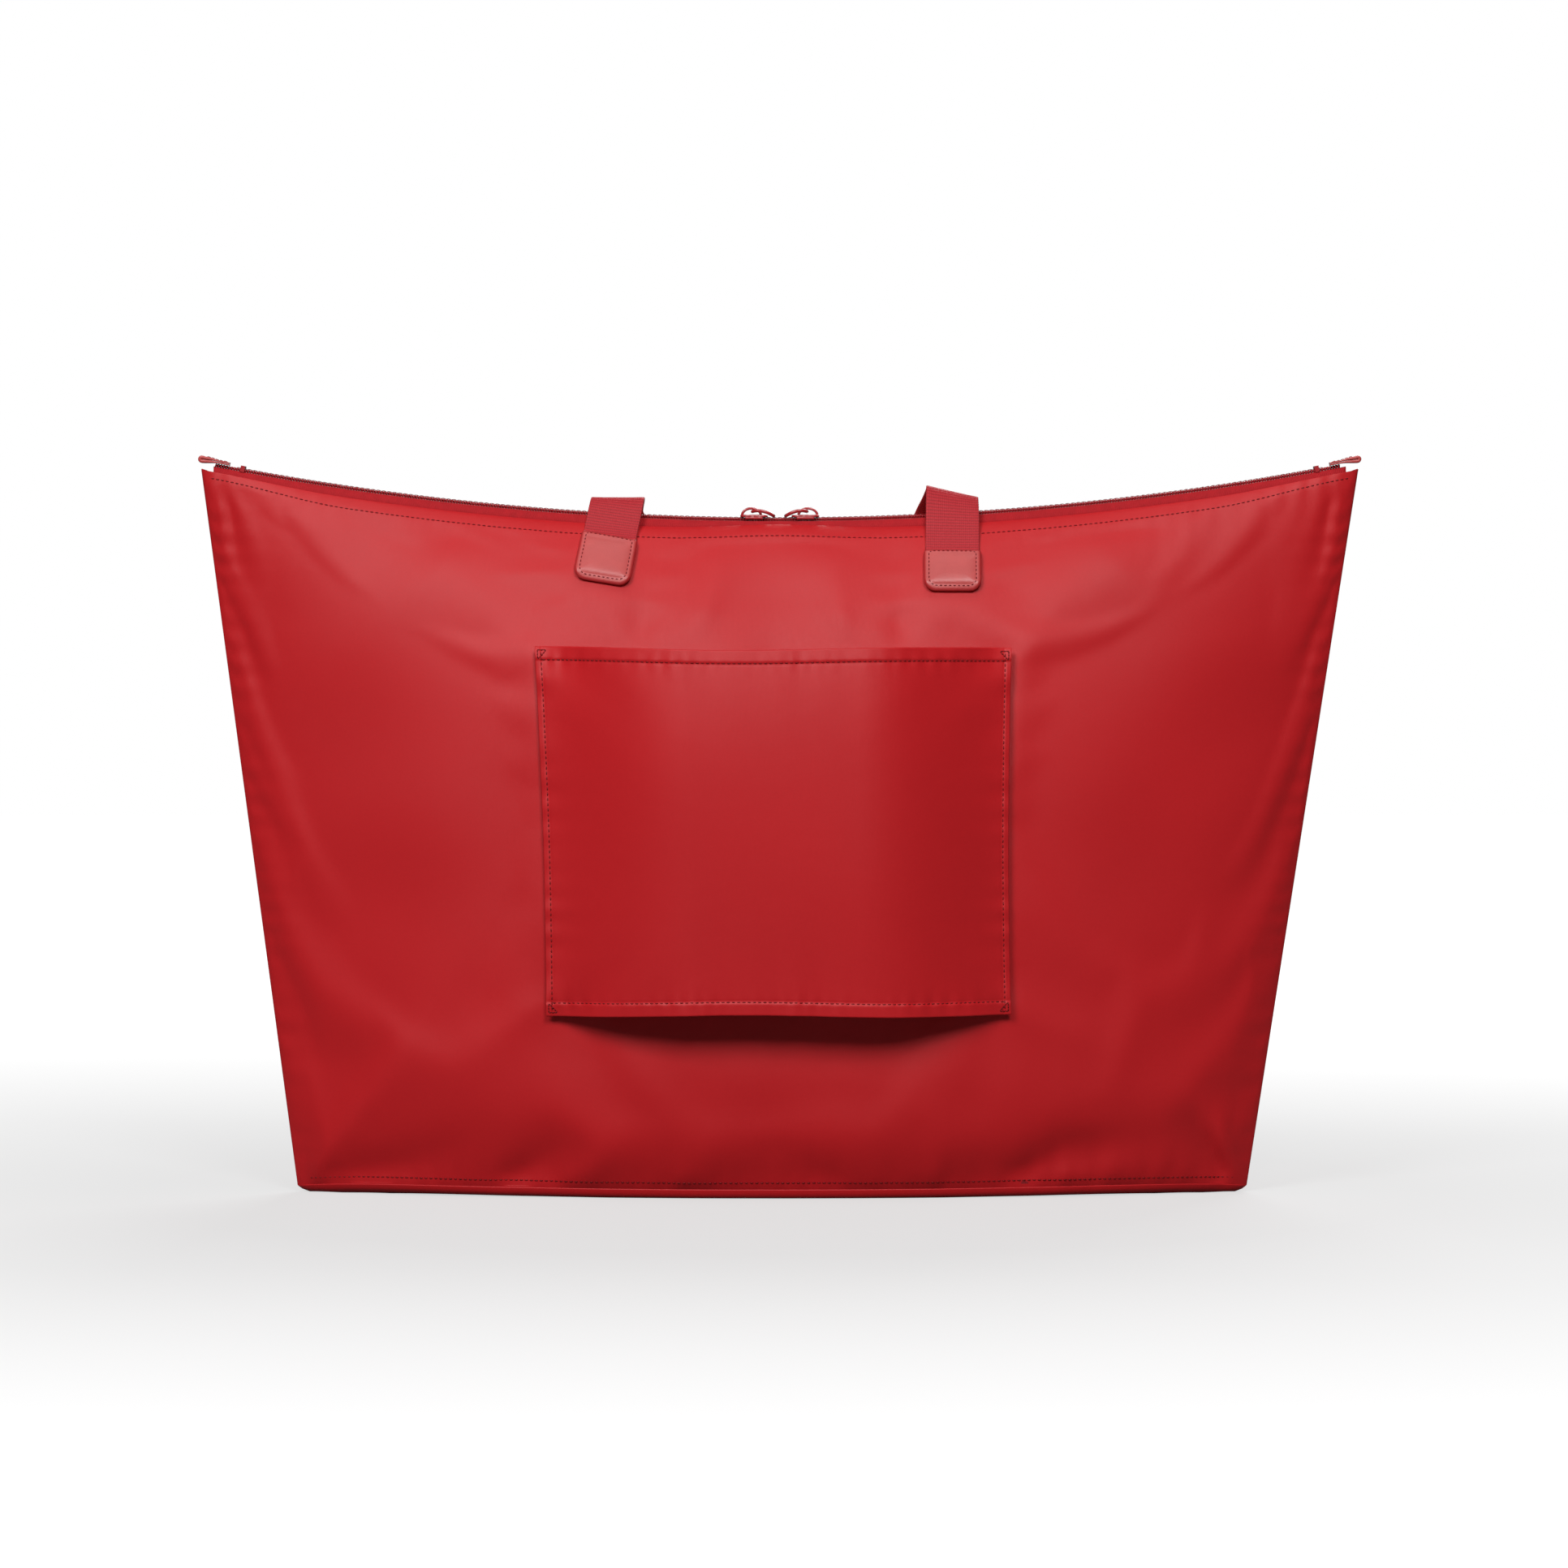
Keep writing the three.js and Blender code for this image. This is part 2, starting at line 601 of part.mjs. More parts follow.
// The zip's ends and sliders sit along its arc; the left ones are the right ones turned round.
for (const [end, turn] of [['left', Math.PI], ['right', 0]]) {
  const half = new THREE.Group();
  half.rotation.z = turn;
  bag.add(half);
  add(bag, `side_binding_${end}`, sideBinding(end === 'left' ? -1 : 1), LINING_SIDE, 0.8);
  const place = (x) => {
    const spot = new THREE.Group();
    spot.position.set(x, 0, zipHeight(x));
    spot.rotation.y = -zipAngle(x);
    half.add(spot);
    return spot;
  };
  add(place(STOP_X), `zip_stop_${end}`, zipStop(), COATED_METAL, 0.35, 0.6);
  add(place(ZIP_HALF_LENGTH), `zip_end_tab_${end}`, zipEndTab(), LEATHER, 0.45);
  const sliderSpot = place(SLIDER_X);
  add(sliderSpot, `zip_slider_${end}`, slider(), COATED_METAL, 0.35, 0.6);
  const ring = add(sliderSpot, `pull_ring_${end}`, pullRing(), COATED_METAL, 0.3, 0.6);
  ring.position.set(RING_PIN.x, 0, RING_PIN.z);
}

add(bag, 'back_handle', handle(HANDLE_ENDS.back, BACK_LEG), WEBBING, 0.8);
add(bag, 'front_handle', handle(HANDLE_ENDS.front, FRONT_LEG), WEBBING, 0.8);

export default bag;
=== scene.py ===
"""The looks of a foldable nylon tote bag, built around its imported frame.

Lengths are millimetres until a mesh is made, and metres after that. The frame is the
part's own: +Z up, the back with the luggage sleeve faces -Y, and X is the width.
"""

import math

import bpy
import numpy as np
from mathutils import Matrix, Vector


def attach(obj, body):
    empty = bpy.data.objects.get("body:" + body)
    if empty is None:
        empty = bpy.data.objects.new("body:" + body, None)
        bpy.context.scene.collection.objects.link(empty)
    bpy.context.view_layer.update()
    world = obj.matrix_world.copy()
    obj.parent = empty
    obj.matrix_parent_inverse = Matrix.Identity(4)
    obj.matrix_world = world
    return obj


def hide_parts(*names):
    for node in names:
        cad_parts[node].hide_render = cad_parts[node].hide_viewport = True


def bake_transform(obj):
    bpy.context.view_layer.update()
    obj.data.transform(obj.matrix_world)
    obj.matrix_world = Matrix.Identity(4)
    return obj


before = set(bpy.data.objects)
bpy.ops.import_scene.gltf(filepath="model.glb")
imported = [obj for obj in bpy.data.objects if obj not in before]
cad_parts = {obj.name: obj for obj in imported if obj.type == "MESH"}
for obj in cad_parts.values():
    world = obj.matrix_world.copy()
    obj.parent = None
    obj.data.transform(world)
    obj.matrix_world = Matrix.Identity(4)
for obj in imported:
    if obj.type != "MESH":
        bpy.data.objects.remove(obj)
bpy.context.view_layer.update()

MM = 0.001

# ---- Driving dimensions, as in the part except for the ring's arch ----------------------

BASE_HALF_WIDTH = 222
TOP_HALF_WIDTH = 270
SEAM_HEIGHT = 335
LENS_POWER = 0.8
LIP_DEPTH = 6.5
LIP_POWER = 16
BACK = {"name": "back", "sign": -1, "depth": 55, "fullness": 6, "roundness": 0.8}
FRONT = {"name": "front", "sign": 1, "depth": 78, "fullness": 3.4, "roundness": 0.85}
ENDS = {"left": -1, "right": 1}

ZIP_MID_HEIGHT = 314.5
ZIP_RADIUS = 1384
ZIP_HALF_LENGTH = 258

SLIDER_X = 12
SLIDER_LENGTH = 13
SLIDER_WIDTH = 9
RING_PIN = (0.8, 3.85)
RING_WIRE = 0.75
RING_BOW = 0.7  # the ring's arch, a little higher than in the part
RING_DROP = 1.9

STRAP_WIDTH = 25
STRAP_THICKNESS = 1.4
STRAP_X = 81
STRAP_FOOT = 283.5
ARCH_HEIGHT = 7.6
PATCH_LOW = 280.5
PATCH_HIGH = 298.5
LEFT_LIFT = 4  # the back handle's left end is sewn on higher, under a taller patch
LEFT_GROWTH = 3
PATCH_WIDTH = 26.5
PATCH_CORNER = 5.2
LEFT_LEAN = math.radians(9.5)

SLEEVE_LOW = 87
SLEEVE_HIGH = 254
SLEEVE_TOP_HALF = 110
SLEEVE_BOTTOM_HALF = 107
SLEEVE_BOW_LOW = 20
SLEEVE_BOW_HIGH = 30

POCKET_LOW = 110
POCKET_HIGH = 245
POCKET_HALF = 90
POCKET_BOW = 5
POCKET_HEM = 12

# ---- Dimensions of the soft finish ------------------------------------------------------

CLOTH = 0.8  # thickness that the nylon shows at an edge
SEAM_HALF_DEPTH = 0.5  # the two panels meet at a side seam
TUCK = 13  # how far the panels turn in above the base seam
TUCK_HEIGHT = 58
ROW_POWER = 0.9  # how the rows of a panel's grid crowd towards its foot
BASE_SEAM = 4.6  # height of the base seam above the floor
BASE_SHIFT = -3.6
STITCH_PITCH = 2.4
STITCH_LENGTH = 1.6
THREAD = 0.27  # thread radius
RIB_PITCH = 1.45  # webbing
STATION = RIB_PITCH / 4  # between two sections of the webbing
COIL_PITCH = 1.27
PUCKER_TURN = 6.283  # radians from one pucker to the next

TO_FRONT = np.array([0, 1.0, 0])
UP = np.array([0, 0, 1.0])

rng = np.random.default_rng(7)

# ---- Small maths ------------------------------------------------------------------------


def smoothstep(value, low, high):
    t = np.clip((value - low) / (high - low), 0, 1)
    return t * t * (3 - 2 * t)


def lerp(a, b, t):
    return a + (b - a) * t


def bump(value, centre, width):
    return np.exp(-(((value - centre) / width) ** 2))


def unit(vectors):
    return vectors / np.maximum(np.linalg.norm(vectors, axis=-1, keepdims=True), 1e-12)


def points(*xyz):
    return np.stack(np.broadcast_arrays(*xyz), axis=-1).astype(float)


def turns(count):
    """Angles evenly spaced round a full turn."""
    return np.linspace(0, 2 * math.pi, count, endpoint=False)


def squarer(wave, power):
    """A sine or cosine drawn towards a square wave, for soft rectangular sections."""
    return np.sign(wave) * np.abs(wave) ** power


def square_to(vectors, tangent):
    """Unit vectors at right angles to a tangent."""
    return unit(vectors - (vectors * tangent).sum(1, keepdims=True) * tangent)


def at_height(outline, height):
    """Points of a flat outline, all at one height."""
    return np.concatenate([outline, np.full((len(outline), 1), height)], 1)


def run_lengths(path):
    """Distance from a path's start to each of its points."""
    return np.concatenate([[0], np.cumsum(np.linalg.norm(np.diff(path, axis=0), axis=-1))])


def columns_at(wanted, places, rows):
    """Each coordinate of some rows, interpolated at the wanted places."""
    return np.stack([np.interp(wanted, places, rows[:, k]) for k in range(3)], 1)


# ---- Making meshes ----------------------------------------------------------------------


def make_piece(name, solid, material, body="bag", threads=None, smooth=True):
    """A mesh object from (points in millimetres, faces), riding on a body unless that is None.

    threads gives each point's place along the cloth's two thread directions, in millimetres.
    """
    vertices, faces = solid
    mesh = bpy.data.meshes.new(name)
    mesh.from_pydata(np.asarray(vertices) * MM, [], tidy(faces))
    mesh.validate()
    if threads is not None:
        corner = np.zeros(len(mesh.loops), np.int32)
        mesh.loops.foreach_get("vertex_index", corner)
        layer = mesh.uv_layers.new(name="threads")
        layer.data.foreach_set("uv", (np.asarray(threads) * MM)[corner].astype(np.float32).ravel())
    piece = bpy.data.objects.new(name, mesh)
    bpy.context.scene.collection.objects.link(piece)
    mesh.materials.append(material)
    mesh.shade_smooth() if smooth else mesh.shade_flat()
    if body:
        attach(piece, body)
    return piece


def facing_out(vertices, faces):
    """The faces, reversed if they enclose a negative volume."""
    a, b, c = (vertices[faces[:, k]] for k in range(3))
    d = vertices[faces[:, 3]]
    volume = np.einsum("ij,ij->i", a, np.cross(b, c)) + np.einsum("ij,ij->i", a, np.cross(c, d))
    return faces[:, ::-1] if volume.sum() < 0 else faces


def quads(rows, columns, wrap_rows=False, wrap_columns=False):
    """Faces of a grid of points numbered row by row."""
    i = np.arange(rows if wrap_rows else rows - 1)[:, None]
    j = np.arange(columns if wrap_columns else columns - 1)[None, :]
    down, right = (i + 1) % rows, (j + 1) % columns
    corners = [i * columns + j, i * columns + right, down * columns + right, down * columns + j]
    return np.stack([np.broadcast_to(c, (len(i), j.size)) for c in corners], -1).reshape(-1, 4)


def tube(grid, closed=True):
    """Vertices and faces of a tube: grid[i, j] goes along with i and round with j."""
    rows, columns = grid.shape[:2]
    vertices = grid.reshape(-1, 3)
    faces = quads(rows, columns, wrap_rows=not closed, wrap_columns=True)
    if closed:
        ends = np.stack([grid[0].mean(0), grid[-1].mean(0)])
        ring = np.arange(columns)
        ahead = (ring + 1) % columns
        first = np.full(columns, len(vertices))
        last = first + 1
        tail = (rows - 1) * columns
        caps = [np.stack([first, ahead, ring, first], -1),
                np.stack([last, tail + ring, tail + ahead, last], -1)]
        vertices = np.concatenate([vertices, ends])
        faces = np.concatenate([faces, *caps])
    return vertices, facing_out(vertices, faces)


def tidy(faces):
    """Faces as lists, with a repeated corner dropped."""
    return [list(dict.fromkeys(f)) for f in faces.tolist()]


def gather(parts):
    """Several (vertices, faces) joined into one."""
    vertices, faces, start = [], [], 0
    for v, f in parts:
        vertices.append(v)
        faces.append(np.asarray(f) + start)
        start += len(v)
    return np.concatenate(vertices), np.concatenate(faces)


def normals_of(grid):
    along = np.gradient(grid, axis=0)
    across = np.gradient(grid, axis=1)
    return unit(np.cross(along, across))


def wrapped_sheet(grid, thickness, rim, towards):
    """A closed cloth of the given thickness with round edges, from the grid of its outer face."""
    normal = normals_of(grid)
    if (normal * towards).sum() < 0:
        normal = -normal
    radius = thickness / 2
    middle = grid - normal * radius
    edge_in = unit(middle[1] - middle[0])
    rows = [middle[0] - edge_in * radius * math.sin(a) + normal[0] * radius * math.cos(a)
            for a in np.linspace(math.pi, 0, rim + 2)[1:-1]]
    edge_out = unit(middle[-1] - middle[-2])
    tail = [middle[-1] + edge_out * radius * math.sin(a) + normal[-1] * radius * math.cos(a)
            for a in np.linspace(0, math.pi, rim + 2)[1:-1]]
    # Round the sheet: outer face, far rim, inner face backwards, near rim.
    inner = (middle - normal * radius)[::-1]
    loop = np.concatenate([grid, np.stack(tail), inner, np.stack(rows)])
    count, columns = loop.shape[:2]
    vertices = loop.reshape(-1, 3)
    faces = [quads(count, columns, wrap_rows=True)]
    # Close the two sides with strips between the outer and the inner face.
    n = len(grid)
    near = 2 * n + rim
    for j, flip in ((0, -1), (columns - 1, 1)):
        ladder = [[i * columns + j, (near - 1 - i) * columns + j] for i in range(n)]
        strip = [[a, b, d, c][::flip] for (a, b), (c, d) in zip(ladder, ladder[1:])]
        faces.append(np.array(strip))
        for first, ring in ((n - 1, range(n, n + rim)), (near - 1, range(near, near + rim))):
            pivot = first * columns + j
            ids = [k * columns + j for k in ring]
            last = ((first + rim + 1) % count) * columns + j
            fan = [[pivot, b, a, pivot][::flip] for a, b in zip(ids, ids[1:] + [last])]
            faces.append(np.array(fan))
    faces = np.concatenate(faces)
    return vertices, facing_out(vertices, faces)


def cloth_solid(grid, thickness, towards, rim=4):
    """wrapped_sheet of a grid, with its thread places taken along the grid's own arcs."""
    down = np.linalg.norm(np.diff(grid, axis=0), axis=-1).mean(1)
    along = np.concatenate([[0], np.cumsum(down)])
    middle = grid[len(grid) // 2]
    place = np.stack(np.broadcast_arrays(run_lengths(middle)[None, :], along[:, None]), -1)
    far, near = (np.repeat(row, rim, 0) for row in (place[-1:], place[:1]))
    loop = np.concatenate([place, far, place[::-1], near])
    return wrapped_sheet(grid, thickness, rim, towards), loop.reshape(-1, 2)


def cloth_piece(name, grid, thickness, towards, material):
    """A sheet of cloth as one piece, from the grid of its outer face."""
    solid, threads = cloth_solid(grid, thickness, towards)
    return make_piece(name, solid, material, threads=threads)


# ---- The bag's shape --------------------------------------------------------------------


def skew(z):
    """The bag stands leaning a little: its base lies off to one side of its top."""
    return BASE_SHIFT * (1 - z / SEAM_HEIGHT)


def zip_height(x):
    return ZIP_MID_HEIGHT + ZIP_RADIUS - np.sqrt(ZIP_RADIUS**2 - np.square(x))


def half_width(z):
    return lerp(BASE_HALF_WIDTH, TOP_HALF_WIDTH, z / SEAM_HEIGHT)


def panel_top(across):
    """Height of a panel's upper edge: near the coil in the middle and at the corners."""
    x = across * TOP_HALF_WIDTH
    drop = 4.6 - 2.4 * bump(x, 0, 52) ** 2 - 1.5 * smoothstep(np.abs(x), 205, 262)
    return zip_height(x) - drop


def panel_foot(across):
    return BASE_SEAM + 1.2 * across**2 - 2.6 * across**10


def panel_share(x, z):
    """Share of the half width, the panel's foot and top there, and share of its height."""
    across = np.clip(x / half_width(z), -1, 1)
    foot, top = panel_foot(across), panel_top(across)
    return across, foot, top, np.clip((z - foot) / (top - foot), 0, 1)


def crowded(count):
    """Shares from -1 to 1, closer together towards both ends."""
    return np.sin((np.linspace(0, 1, count) - 0.5) * math.pi)


# Soft ridges, or valleys where the height is negative: (x, z) of both ends, width, height.
BACK_FOLDS = [
    ((-221, 3), (-176, 62), 9, 3.4),
    ((-214, 0), (-150, 22), 8, -2.2),
    ((-176, 62), (-120, 150), 26, 2.4),
    ((223, 2), (206, 34), 5, 3.6),
    ((214, 2), (197, 34), 5, -3.0),
    ((197, 34), (150, 120), 26, 2.2),
    ((-124, 6), (-98, 24), 8, -2.8),
    ((-92, 6), (-70, 30), 9, 2.0),
    ((112, 10), (142, 27), 8, -2.6),
    ((150, 6), (147, 26), 7, -1.8),
    ((128, 3), (160, 12), 7, 1.8),
    ((30, 6), (-10, 34), 13, -1.8),
    ((-40, 4), (-30, 30), 10, 1.6),
    ((70, 5), (84, 34), 11, 1.6),
    ((0, 250), (0, 292), 24, -3.4),
    ((-64, 262), (-62, 312), 10, -2.2),
    ((57, 262), (58, 312), 10, -2.2),
    ((-36, 268), (-22, 308), 9, 1.8),
    ((30, 266), (20, 306), 9, 1.8),
    ((-150, 300), (-200, 250), 20, 2.2),
    ((150, 300), (205, 245), 20, 2.0),
    ((-108, 90), (-150, 60), 12, 1.6),
    ((106, 90), (160, 66), 12, 1.6),
    ((-112, 250), (-146, 286), 12, 1.4),
    ((112, 250), (140, 290), 12, 1.4),
    ((-257, 322), (-252, 286), 3.6, -2.6),
    ((-262, 322), (-259, 290), 2.6, 1.3),
    ((257, 322), (252, 288), 3.6, -2.2),
    ((262, 322), (259, 292), 2.6, 1.1),
]
FRONT_FOLDS = [
    ((-220, 4), (-160, 70), 10, 3.4),
    ((218, 4), (170, 64), 10, 3.2),
    ((-160, 70), (-90, 170), 30, 3.0),
    ((170, 64), (110, 150), 28, 2.8),
    ((-110, 6), (-96, 34), 9, -2.6),
    ((-60, 6), (-66, 36), 11, 2.2),
    ((20, 6), (6, 40), 12, -2.4),
    ((88, 6), (96, 38), 10, 2.2),
    ((132, 6), (128, 30), 8, -2.0),
    ((0, 300), (8, 230), 20, -2.6),
    ((-150, 300), (-205, 235), 20, 2.6),
    ((150, 300), (200, 240), 20, 2.6),
    ((-81, 276), (-96, 236), 12, 2.0),
    ((81, 276), (98, 240), 12, 2.0),
    ((-262, 298), (-264, 324), 3.5, -1.6),
    ((262, 298), (264, 324), 3.5, -1.6),
]


def fold(x, z, start, end, width, height):
    """A soft ridge between two points, sharp at its start and spreading towards its end."""
    run = np.subtract(end, start)
    length = math.hypot(*run)
    t = ((x - start[0]) * run[0] + (z - start[1]) * run[1]) / length**2
    away = ((x - start[0]) * run[1] - (z - start[1]) * run[0]) / length
    spread = width * lerp(0.75, 1.7, np.clip(t, 0, 1))
    reach = smoothstep(t, -0.3, 0.15) * (1 - smoothstep(t, 0.6, 1.5))
    return height * reach * np.exp(-np.abs(away / spread) ** 1.7)


# A slow unevenness: plane waves (wave length, direction, phase).
WAVE_COUNT = 14
WAVE_PHASE = 6.28
WAVE_SHARE = 0.45  # share of the waves' height that is kept
WAVE_FULL = 260  # a longer wave is higher in proportion, 1 mm at this length
WAVES = [(rng.uniform(60, 150), rng.uniform(0, math.pi), rng.uniform(0, WAVE_PHASE))
         for _ in range(WAVE_COUNT)]


def unevenness(x, z):
    total = 0
    for length, direction, phase in WAVES:
        place = x * math.cos(direction) + z * math.sin(direction)
        total = total + length / WAVE_FULL * np.sin(place * 2 * math.pi / length + phase)
    return WAVE_SHARE * total


def pucker(place, pitch):
    """Small uneven ripples along a seam."""
    wander = 1.7 * np.sin(place / 23)
    height = 0.65 + 0.35 * np.sin(place / 9.1)
    return np.sin(place * PUCKER_TURN / pitch + wander) * height


def ideal_depth(side, x, z):
    """Half depth of the filled bag, from the plane of the side seams to the cloth's outer face."""
    across, foot, _, up = panel_share(x, z)
    lens = (1 - across**2) ** LENS_POWER
    lip = np.sqrt(1 - np.abs(across) ** LIP_POWER)
    neck = LIP_DEPTH * lerp(lens, lip, smoothstep(up, 0.8, 1))
    swell = (side["depth"] - LIP_DEPTH) * (1 - up ** side["fullness"]) ** side["roundness"]
    low = np.clip(1 - (z - foot) / TUCK_HEIGHT, 0, 1)
    return SEAM_HALF_DEPTH + neck + (swell - TUCK * low**2.2) * lens


def relief_height(side, x, z):
    """Folds, unevenness and seam puckers, along the depth."""
    across, foot, top, _ = panel_share(x, z)
    edge = (1 - np.abs(across)) * TOP_HALF_WIDTH
    inside = smoothstep(edge, 0, 22) * smoothstep(z - foot, -2, 7) * smoothstep(top - z, 0, 16)
    folds = sum(fold(x, z, *f) for f in (BACK_FOLDS if side is BACK else FRONT_FOLDS))
    near_top = np.exp(-np.maximum(top - z, 0) / 8)
    near_foot = np.exp(-np.maximum(z - foot, 0) / 10)
    near_side = np.exp(-edge / 7) * smoothstep(edge, 0, 4)
    at_top = 0.34 * near_top * pucker(x, 9.5)
    at_foot = 0.5 * near_foot * smoothstep(z - foot, 0, 5) * pucker(x, 12)
    at_side = 0.6 * near_side * pucker(z, 11)
    ripples = (at_top + at_foot) * smoothstep(edge, 0, 10)
    return inside * (folds + unevenness(x, z)) + ripples + at_side


# ---- Cloth simulation -------------------------------------------------------------------

SIM_COLUMNS = 110
SIM_ROWS = 72
SIM_FRAMES = 16
SIM_EASE = 0.5  # share of the settling that is kept, as full cloth is drawn tight
SIM_CAP = 3.0  # the most that a point may move
relief = {}


def panel_places(columns, rows):
    """Width and height of each point of a grid on a panel, row by row from the foot."""
    across = crowded(columns)[None, :]
    up = np.sin(np.linspace(0, 1, rows) * math.pi / 2)[:, None] ** ROW_POWER
    z = lerp(panel_foot(across), panel_top(across), up)
    return across * half_width(z), z


def unsettled(side, x, z):
    """A panel's outer face before it settles, and before the bag leans."""
    return points(x, side["sign"] * (ideal_depth(side, x, z) + relief_height(side, x, z)), z)


def held_share(side, grid):
    """How firmly each point of a panel is sewn down, from 0 to 1."""
    x, z = grid[..., 0], grid[..., 2]
    across = x / half_width(z)
    hold = np.maximum(smoothstep(np.abs(across), 0.985, 1), 1 - smoothstep(z - panel_foot(across), 1, 6))
    hold = np.maximum(hold, 1 - smoothstep(panel_top(across) - z, 2, 8))
    patch = (np.abs(np.abs(x) - STRAP_X + 2) < 19) & (z > PATCH_LOW - 5)
    hold = np.maximum(hold, patch * 1.0)
    if side is BACK:
        half = lerp(SLEEVE_BOTTOM_HALF, SLEEVE_TOP_HALF, (z - SLEEVE_LOW) / (SLEEVE_HIGH - SLEEVE_LOW))
        seam = (np.abs(np.abs(x) - half) < 4) & (z > SLEEVE_LOW - 3) & (z < SLEEVE_HIGH + 3)
        hold = np.maximum(hold, seam * 0.9)
    return hold


def settle(side):
    """Lets a panel that is cut a little full settle between its seams, with Blender's cloth."""
    grid = unsettled(side, *panel_places(SIM_COLUMNS, SIM_ROWS))
    mesh = bpy.data.meshes.new("settling")
    faces = quads(SIM_ROWS, SIM_COLUMNS)
    mesh.from_pydata(grid.reshape(-1, 3) * MM, [], faces.tolist())
    cloth = bpy.data.objects.new("settling", mesh)
    bpy.context.scene.collection.objects.link(cloth)
    group = cloth.vertex_groups.new(name="held")
    for i, weight in enumerate(held_share(side, grid).ravel()):
        group.add([i], float(weight), "REPLACE")
    modifier = cloth.modifiers.new("cloth", "CLOTH")
    settings = modifier.settings
    settings.quality = 5
    settings.mass = 0.12
    settings.tension_stiffness = 25
    settings.compression_stiffness = 25
    settings.shear_stiffness = 12
    settings.bending_stiffness = 2.5
    settings.shrink_min = -0.003
    settings.use_pressure = True
    settings.uniform_pressure_force = 1.2 * (1 if side is FRONT else -1)
    settings.vertex_group_mass = "held"
    settings.effector_weights.gravity = 0.35
    modifier.collision_settings.use_collision = False
    scene = bpy.context.scene
    for f in range(1, SIM_FRAMES + 1):
        scene.frame_set(f)
    shaped = cloth.evaluated_get(bpy.context.evaluated_depsgraph_get())
    after = np.zeros(len(mesh.vertices) * 3, np.float32)
    shaped.data.vertices.foreach_get("co", after)
    scene.frame_set(1)
    bpy.data.objects.remove(cloth)
    moved = after.reshape(grid.shape) / MM - grid
    reach = np.linalg.norm(moved, axis=-1, keepdims=True)
    moved *= np.minimum(1, SIM_CAP / np.maximum(reach, 1e-6))
    return SIM_EASE * moved * (1 - held_share(side, grid)[..., None])


def spline(field, row, column):
    """Cubic B-spline of a grid at fractional rows and columns."""
    def weights(t):
        return [(1 - t) ** 3 / 6, (3 * t**3 - 6 * t**2 + 4) / 6,
                (-3 * t**3 + 3 * t**2 + 3 * t + 1) / 6, t**3 / 6]

    i, j = np.floor(row).astype(int), np.floor(column).astype(int)
    total = 0
    for a, wa in enumerate(weights(row - i)):
        for b, wb in enumerate(weights(column - j)):
            r = np.clip(i + a - 1, 0, field.shape[0] - 1)
            c = np.clip(j + b - 1, 0, field.shape[1] - 1)
            total = total + (wa * wb)[..., None] * field[r, c]
    return total


def panel_point(side, x, z):
    """The settled outer face at width x and height z."""
    x, z = np.broadcast_arrays(np.asarray(x, float), np.asarray(z, float))
    place = unsettled(side, x, z)
    place[..., 0] += skew(z)
    if side["name"] in relief:
        across, _, _, up = panel_share(x, z)
        column = (np.arcsin(across) / math.pi + 0.5) * (SIM_COLUMNS - 1)
        row = np.arcsin(np.clip(up ** (1 / ROW_POWER), 0, 1)) * 2 / math.pi * (SIM_ROWS - 1)
        place = place + spline(relief[side["name"]], row, column)
    return place


def on_panel(side, x, z, off):
    """Points on a panel's settled face, pushed off it by a distance."""
    step = 0.8
    along = panel_point(side, x + step, z) - panel_point(side, x - step, z)
    rise = panel_point(side, x, z + step) - panel_point(side, x, z - step)
    normal = unit(np.cross(along, rise) * -side["sign"])
    return panel_point(side, x, z) + normal * np.asarray(off)[..., None]


# ---- Materials --------------------------------------------------------------------------


def colour(red, green, blue):
    """A linear colour from the 0 to 255 numbers that a screen shows."""
    def linear(value):
        share = value / 255
        return share / 12.92 if share <= 0.04045 else ((share + 0.055) / 1.055) ** 2.4

    return (linear(red), linear(green), linear(blue), 1)


